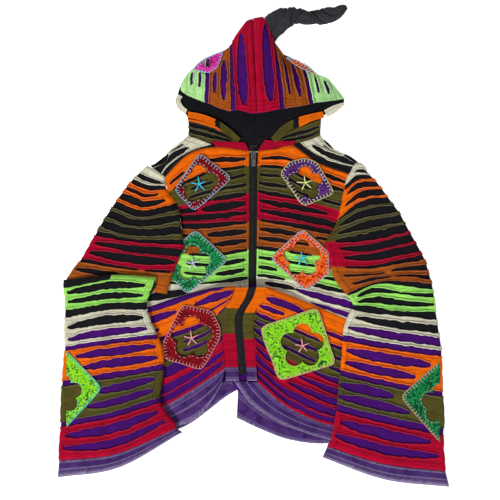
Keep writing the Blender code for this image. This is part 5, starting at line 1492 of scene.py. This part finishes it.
# The ends cut a patch off at the sleeve's fold or under it: a place and the direction that is kept.
PATCHES = [Patch(*row) for row in (
    ("chest_left", "front_upper_left", "darkred", "red", "skyblue", "cyan", (-92, 103.5), 31,
     "-91.5,157 -36,114 -100,57.5 -134,94.5"),
    ("chest_right", "front_upper_right", "plum", "purple", "paleyellow", "paleyellow", (87.5, 105.5), 27,
     "45,122 60,141 86,148 107,141.5 137.5,88.5 84,66"),
    ("waist_left", "front_upper_left", "emerald", "green", "lavender", "lavender", (-103, -30.5), 29,
     "-99,27.5 -42.5,-24.5 -112.5,-83 -159,-30", (((-117, 14), (0.955, -0.297)),)),
    ("waist_right", "front_upper_right", "tangerine", "orange", "skyblue", "cyan", (82.5, -21.5), 30,
     "84,29 127,-11.5 128,-47.5 88.5,-76.5 27.5,-21"),
    ("hip_left", "front_lower_left", "crimson", "red", "pink", "pink", (-104, -156), 34,
     "-120,-99.5 -69,-110.5 -56,-137 -56,-157 -87.5,-210 -150,-192 -154,-166.5"),
    ("hip_right", "front_lower_right", "lime", "green", "pink", "pink", (82.5, -169.5), 36,
     "9.5,-137 108,-104 140,-200.5 42.5,-229.5"),
    ("sleeve_left", "sleeve_left_lower", "lime", "green", "cyan", "cyan", (-322, -251), 31,
     "-320.5,-174 -254,-240.5 -325.5,-317 -392,-249", (((-316.5, -245.5), (1, 0)),)),
    ("sleeve_right", "sleeve_right", "emerald", "green", "pink", "pink", (317, -268), 32,
     "317,-194.5 390,-266 322,-341 246.5,-255", (((315.5, -245.5), (-1, 0)),)),
    ("hood_left", "hood_crown_left", "magenta", "magenta", "skyblue", "", (-76.5, 307), 8,
     "-49.5,327 -58.5,298.5 -73,289 -102,296 -82.5,313 -64.5,322"),
    ("hood_right", "hood_crown_right", "tangerine", "orange", "skyblue", "", (78, 303.5), 0,
     "52,316 69,313 84,305 98,293 103,287 75.5,298.5"),
)]
RIM_POINTS = 132
PATCH_RINGS = 8
FLOWER_MOST = 0.86     # a flower reaches at most this share of the way to the rim
RIM_WORN = 0.3         # a patch is worn over this share of its width along the rim
FLOWER_WORN = 0.8      # and from this share on, round the flower


def pairs(points):
    """Each point of a closed outline with the next one."""
    return zip(points, points[1:] + points[:1])


def rounded(corners, passes=3):
    """A closed outline with its corners cut off, again and again."""
    points = [a.lerp(b, t) for a, b in pairs(corners) for t in (0.06, 0.3, 0.7, 0.94)]
    for _ in range(passes):
        points = [p for a, b in pairs(points) for p in (a.lerp(b, 0.25), a.lerp(b, 0.75))]
    return points


def evenly(points, count):
    """The same closed outline with evenly spaced points."""
    lengths = run_lengths(points + points[:1])
    found, i = [], 0
    for k in range(count):
        run = lengths[-1] * k / count
        while lengths[i + 1] < run:
            i += 1
        t = (run - lengths[i]) / (lengths[i + 1] - lengths[i])
        found.append(points[i].lerp(points[(i + 1) % len(points)], t))
    return found


def seated(panel_name, x, y, off):
    """A place on a panel, so far off its lining."""
    ground = grounds[panel_name]
    hit, normal = ground.ray_cast(Vector((x, y, 500)), Vector((0, 0, -1)))[:2]
    if hit is None:
        hit, normal = ground.find_nearest(Vector((x, y, 5)))[:2]
    up = normal if normal.z > 0.3 else Vector((0, 0, 1))
    return hit + up * off


def flower_reach(spec, angle):
    lobe = abs(math.cos(2.5 * (angle - math.pi / 2))) ** 0.8
    return spec.radius * (0.72 + 0.34 * lobe)


def patch(spec):
    on_sleeve = spec.panel.startswith("sleeve")
    off = SLEEVE_PATCH_OFF if on_sleeve else PATCH_OFF
    rim = evenly(rounded([Vector(corner[:2]) for corner in read_line(spec.corners)]), RIM_POINTS)
    middle = Vector(spec.middle)
    rows, inner = [], []
    for point in rim:
        angle = math.atan2(point.y - middle.y, point.x - middle.x)
        reach = min(flower_reach(spec, angle), FLOWER_MOST * (point - middle).length)
        inner.append(middle + Vector((math.cos(angle), math.sin(angle))) * reach)
    for ring in range(PATCH_RINGS + 1):
        t = ring / PATCH_RINGS
        sag = 0.45 * (1 - math.sin(math.pi * (0.12 + 0.76 * t)))
        points = []
        for spot in (a.lerp(b, t) for a, b in zip(rim + rim[:1], inner + inner[:1])):
            ripple = 0.25 * noise.noise(Vector((spot.x / 9, spot.y / 9, 3)))
            points.append(seated(spec.panel, spot.x, spot.y, off - sag + ripple))
        lip = 0.9 * (1 - t / RIM_WORN) if t < RIM_WORN else max(0.0, (t - FLOWER_WORN) * 4)
        rows.append(Row(points, spec.cloth, 5 + 24.0 * t, lip))
    mesh, cloths = cloth_mesh(rows)
    weld(mesh)
    for place, keep in spec.ends:
        bmesh.ops.bisect_plane(mesh, geom=mesh.verts[:] + mesh.edges[:] + mesh.faces[:], dist=0.001,
                               plane_co=(*place, 0), plane_no=(-keep[0], -keep[1], 0), clear_outer=True)
    turn_up(mesh)
    name = "patch_" + spec.name
    piece = add_piece(name, mesh, cloths, name, "patch_" + spec.slot, wall=PATCH, rim=0.25)
    wide = max(p.x for p in rim) - min(p.x for p in rim)
    long = max(p.y for p in rim) - min(p.y for p in rim)
    cover = sum(face.area for face in piece.data.polygons) / (MM * MM)
    declare(piece, wide / 2 if on_sleeve else wide, long, cover, "slit_" + spec.panel)
    embroider(spec, name, rim, inner, off + PATCH)


# %% Their embroidery
BLANKET = 6.0          # space between two blanket stitches
REACH_IN = 6.0         # and how far they reach in from the rim
REACH_SMALL = 3.6      # the same on the two small patches of the hood
THREAD = 0.5           # radius of the thread
STAR_THREAD = 1.1      # and of a star's
STAR_ARM = 13          # length of a star's arm
RUNNING = 28           # stitches round a flower
OFF_FLOWER = 2.6       # their distance from its edge


def kept(spec, spot):
    return all((spot.x - x) * dx + (spot.y - y) * dy > 0 for (x, y), (dx, dy) in spec.ends)


def sew(mesh, start, end, radius=THREAD):
    """One stitch: a short length of thread from one place to another."""
    turn = (end - start).to_track_quat("Z", "Y").to_matrix().to_4x4()
    bmesh.ops.create_cone(mesh, segments=6, cap_ends=True, radius1=radius, radius2=radius * 0.85,
                          depth=(end - start).length, calc_uvs=True,
                          matrix=Matrix.Translation((start + end) / 2) @ turn)


def embroider(spec, name, rim, inner, off):
    """Blanket stitches round the rim, running stitches round the flower, and a star."""
    middle = Vector(spec.middle)
    large = spec.radius > 10

    def at(point, rise=0.0):
        return seated(spec.panel, point.x, point.y, off + rise)

    mesh = new_mesh()
    length = sum((a - b).length for a, b in pairs(rim))
    for a, b in pairs(evenly(rim, round(length / BLANKET))):
        if not (kept(spec, a) and kept(spec, b)):
            continue
        inward = (middle - a).normalized()
        side = Vector((-(b - a).y, (b - a).x)).normalized()
        inward = (side if side.dot(inward) > 0 else -side) * 0.8 + inward * 0.2
        reach = REACH_IN if large else REACH_SMALL
        foot = a + inward.normalized() * reach * (1 + 0.25 * noise.noise(Vector((a.x, a.y, 1))))
        sew(mesh, at(a), at(foot, -0.1))
        sew(mesh, at(a), at(b), THREAD * 0.9)
    if large:
        for a, b in pairs(evenly([p + (p - middle).normalized() * OFF_FLOWER for p in inner], RUNNING)):
            end = a.lerp(b, 0.55)
            if kept(spec, a) and kept(spec, end):
                sew(mesh, at(a), at(end), THREAD * 0.85)
    add_piece("stitches_" + name, mesh, ["thread_" + spec.thread])
    if spec.star:
        mesh = new_mesh()
        for k in range(5):
            angle = math.radians(98 + 72 * k + 9 * noise.noise(Vector((k, middle.x, 0))))
            length = STAR_ARM + 2.5 * noise.noise(Vector((k, 3, middle.y)))
            tip = middle + Vector((math.cos(angle), math.sin(angle))) * length
            if kept(spec, tip) and kept(spec, middle):
                sew(mesh, at(middle, 0.2), at(tip, -0.2), STAR_THREAD)
        if mesh.faces:
            add_piece("star_" + name, mesh, ["thread_" + spec.star])
        else:
            mesh.free()


for spec in PATCHES:
    patch(spec)
print("patches", len(PATCHES))

# %% [markdown]
# The zip is woven tape with a coil. The slider is plated metal, and its pull hangs on it as the one part
# that moves, so it rides the frame's second body.

# %% The zip
TOOTH = 2.1            # spacing of the coil's turns
TURN = (2.1, 0.5, 0)   # half of a turn's run across the tape, and its lean along it
TURN_RADIUS = 0.72
ZIP_STEP = 4           # spacing of the tape's rows
TAPE = LINING * 0.8
ZIP_RISE = 1.0
PROFILE = ((-ZIP_HALF, 0), (-4.4, 0.15), (-2.4, 0.3), (0, 0.5), (2.4, 0.3), (4.4, 0.15), (ZIP_HALF, 0))


def zip_length(name, path):
    """A length of tape, puffed at its middle, and the coil's turns along it."""
    level = FRONT_Z + ZIP_RISE
    count = max(12, round(run_lengths([Vector(p) for p in path])[-1] / ZIP_STEP))
    places = []
    for k in range(count + 1):
        spot = along(path, k / count)
        places.append([settle(spot + Vector((aside, 0, rise)), level) for aside, rise in PROFILE])
    rows = [Row(points, "tape", ZIP_STEP * k + 5) for k, points in enumerate(places)]
    add_cloth(name, rows, places, name, "zip_tape", wall=TAPE, rim=0.2)
    coil = new_mesh()
    turns = round(count * ZIP_STEP / TOOTH)
    for k in range(turns):
        spot = settle(along(path, (k + 0.5) / turns), level + TAPE + 0.75)
        lean = Vector(TURN) * Vector((1, 1 if k % 2 else -1, 0))
        sew(coil, spot - lean, spot + lean, TURN_RADIUS)
    add_piece("coil_" + name, coil, ["coil"], slot="zip_metal")


zip_length("zip_upper", ZIP_PATH[:3])
zip_length("zip_lower", FOLD_PATH[:-1] + [(-18.5, -218, 6.5)])

# %% The slider and its pull
SLIDER_Y = 154.0
SLIDER_Z = 7.2
SLIDER = Vector((8.4, 13.0, 3.0))
BRIDGE = Vector((2.4, 12.0, 4.6))
PULL = Vector((6.8, 21.0, 1.4))
PULL_EYE = 7.2
FOOT = 1.8             # length of each of the bridge's feet
BAR = 1.2              # thickness of its bar


def block(mesh, size, middle, round_off):
    """A box with rounded edges, added to a mesh."""
    made = bmesh.ops.create_cube(mesh, size=1.0, calc_uvs=True)["verts"]
    bmesh.ops.scale(mesh, vec=size, verts=made)
    bmesh.ops.translate(mesh, vec=middle, verts=made)
    edges = list({edge for point in made for edge in point.link_edges})
    bmesh.ops.bevel(mesh, geom=edges, offset=round_off, segments=3, profile=0.6, affect="EDGES")


mesh = new_mesh()
block(mesh, SLIDER, (0, SLIDER_Y, SLIDER_Z + SLIDER.z / 2), 0.9)
top = SLIDER_Z + SLIDER.z
for away in (FOOT / 2 - BRIDGE.y / 2, BRIDGE.y / 2 - FOOT / 2):
    block(mesh, (BRIDGE.x, FOOT, BRIDGE.z), (0, SLIDER_Y + away, top + BRIDGE.z / 2 - 0.4), 0.4)
block(mesh, (BRIDGE.x, BRIDGE.y, BAR), (0, SLIDER_Y, top + 3.4 + BAR / 2), 0.5)
add_piece("zip_slider", mesh, ["metal"], "zip_slider", "zip_metal")

mesh = grid(8, 20)
pull_top = SLIDER_Y + PULL.z / 2
for point in mesh.verts:
    point.co = ((point.co.x / 8 - 0.5) * PULL.x, pull_top - point.co.y / 20 * PULL.y, top + 1.2)
hole = [face for face in mesh.faces if abs(face.calc_center_median().x) < 2.0
        and 1.4 < pull_top - face.calc_center_median().y < PULL_EYE + 0.8]
bmesh.ops.delete(mesh, geom=hole, context="FACES")
turn_up(mesh)
add_piece("zip_pull", mesh, ["metal"], "zip_pull", "zip_metal", "pull", wall=PULL.z, offset=0.0, rim=0.35,
          smooth=False)
print("slider and pull ready")

# %% [markdown]
# The photo looks straight down onto the garment on a white ground, lit softly from the upper left. The
# floor is staging, so it belongs to no body.

# %% Floor, light and camera
white = (0.95, 0.95, 0.95)
tree = Tree("floor", 0.9)
grain = tree.span(tree.noise(tree.object, 40, 2), 0.3, 0.7)
for key, value in (("Base Color", tree.mix(grain, white, shade(white, 0.99))), ("Emission Color", white),
                   ("Emission Strength", 0.75)):
    tree.put(tree.inputs[key], value)
mesh = new_mesh()
bmesh.ops.create_grid(mesh, x_segments=1, y_segments=1, size=2.0, calc_uvs=True)
bmesh.ops.translate(mesh, vec=(0, 0, -0.0015), verts=mesh.verts)
data = bpy.data.meshes.new("floor")
mesh.to_mesh(data)
mesh.free()
floor = bpy.data.objects.new("floor", data)
data.materials.append(tree.material)
bpy.context.scene.collection.objects.link(floor)

scene = bpy.context.scene
scene.view_settings.view_transform = "Standard"
world = bpy.data.worlds.new("soft_daylight")
world.use_nodes = True
world.node_tree.nodes["Background"].inputs["Color"].default_value = (0.93, 0.96, 1.0, 1)
world.node_tree.nodes["Background"].inputs["Strength"].default_value = 0.42
scene.world = world
for name, turned, energy, wide in (("key", (36, -38), 3.2, 9), ("fill", (-25, 35), 0.4, 40)):
    lamp = bpy.data.lights.new(name, "SUN")
    lamp.energy = energy
    lamp.angle = math.radians(wide)
    light = bpy.data.objects.new(name, lamp)
    light.rotation_euler = [math.radians(turned[0]), math.radians(turned[1]), 0]
    scene.collection.objects.link(light)

camera = bpy.data.objects.new("camera", bpy.data.cameras.new("camera"))
camera.data.lens = 85
camera.data.sensor_width = 36
camera.location = (-0.00595, -0.00765, 2.007)
scene.collection.objects.link(camera)
scene.camera = camera
print("staging ready")

total = sum(made_triangles.values())
print("triangles before modifiers", total)
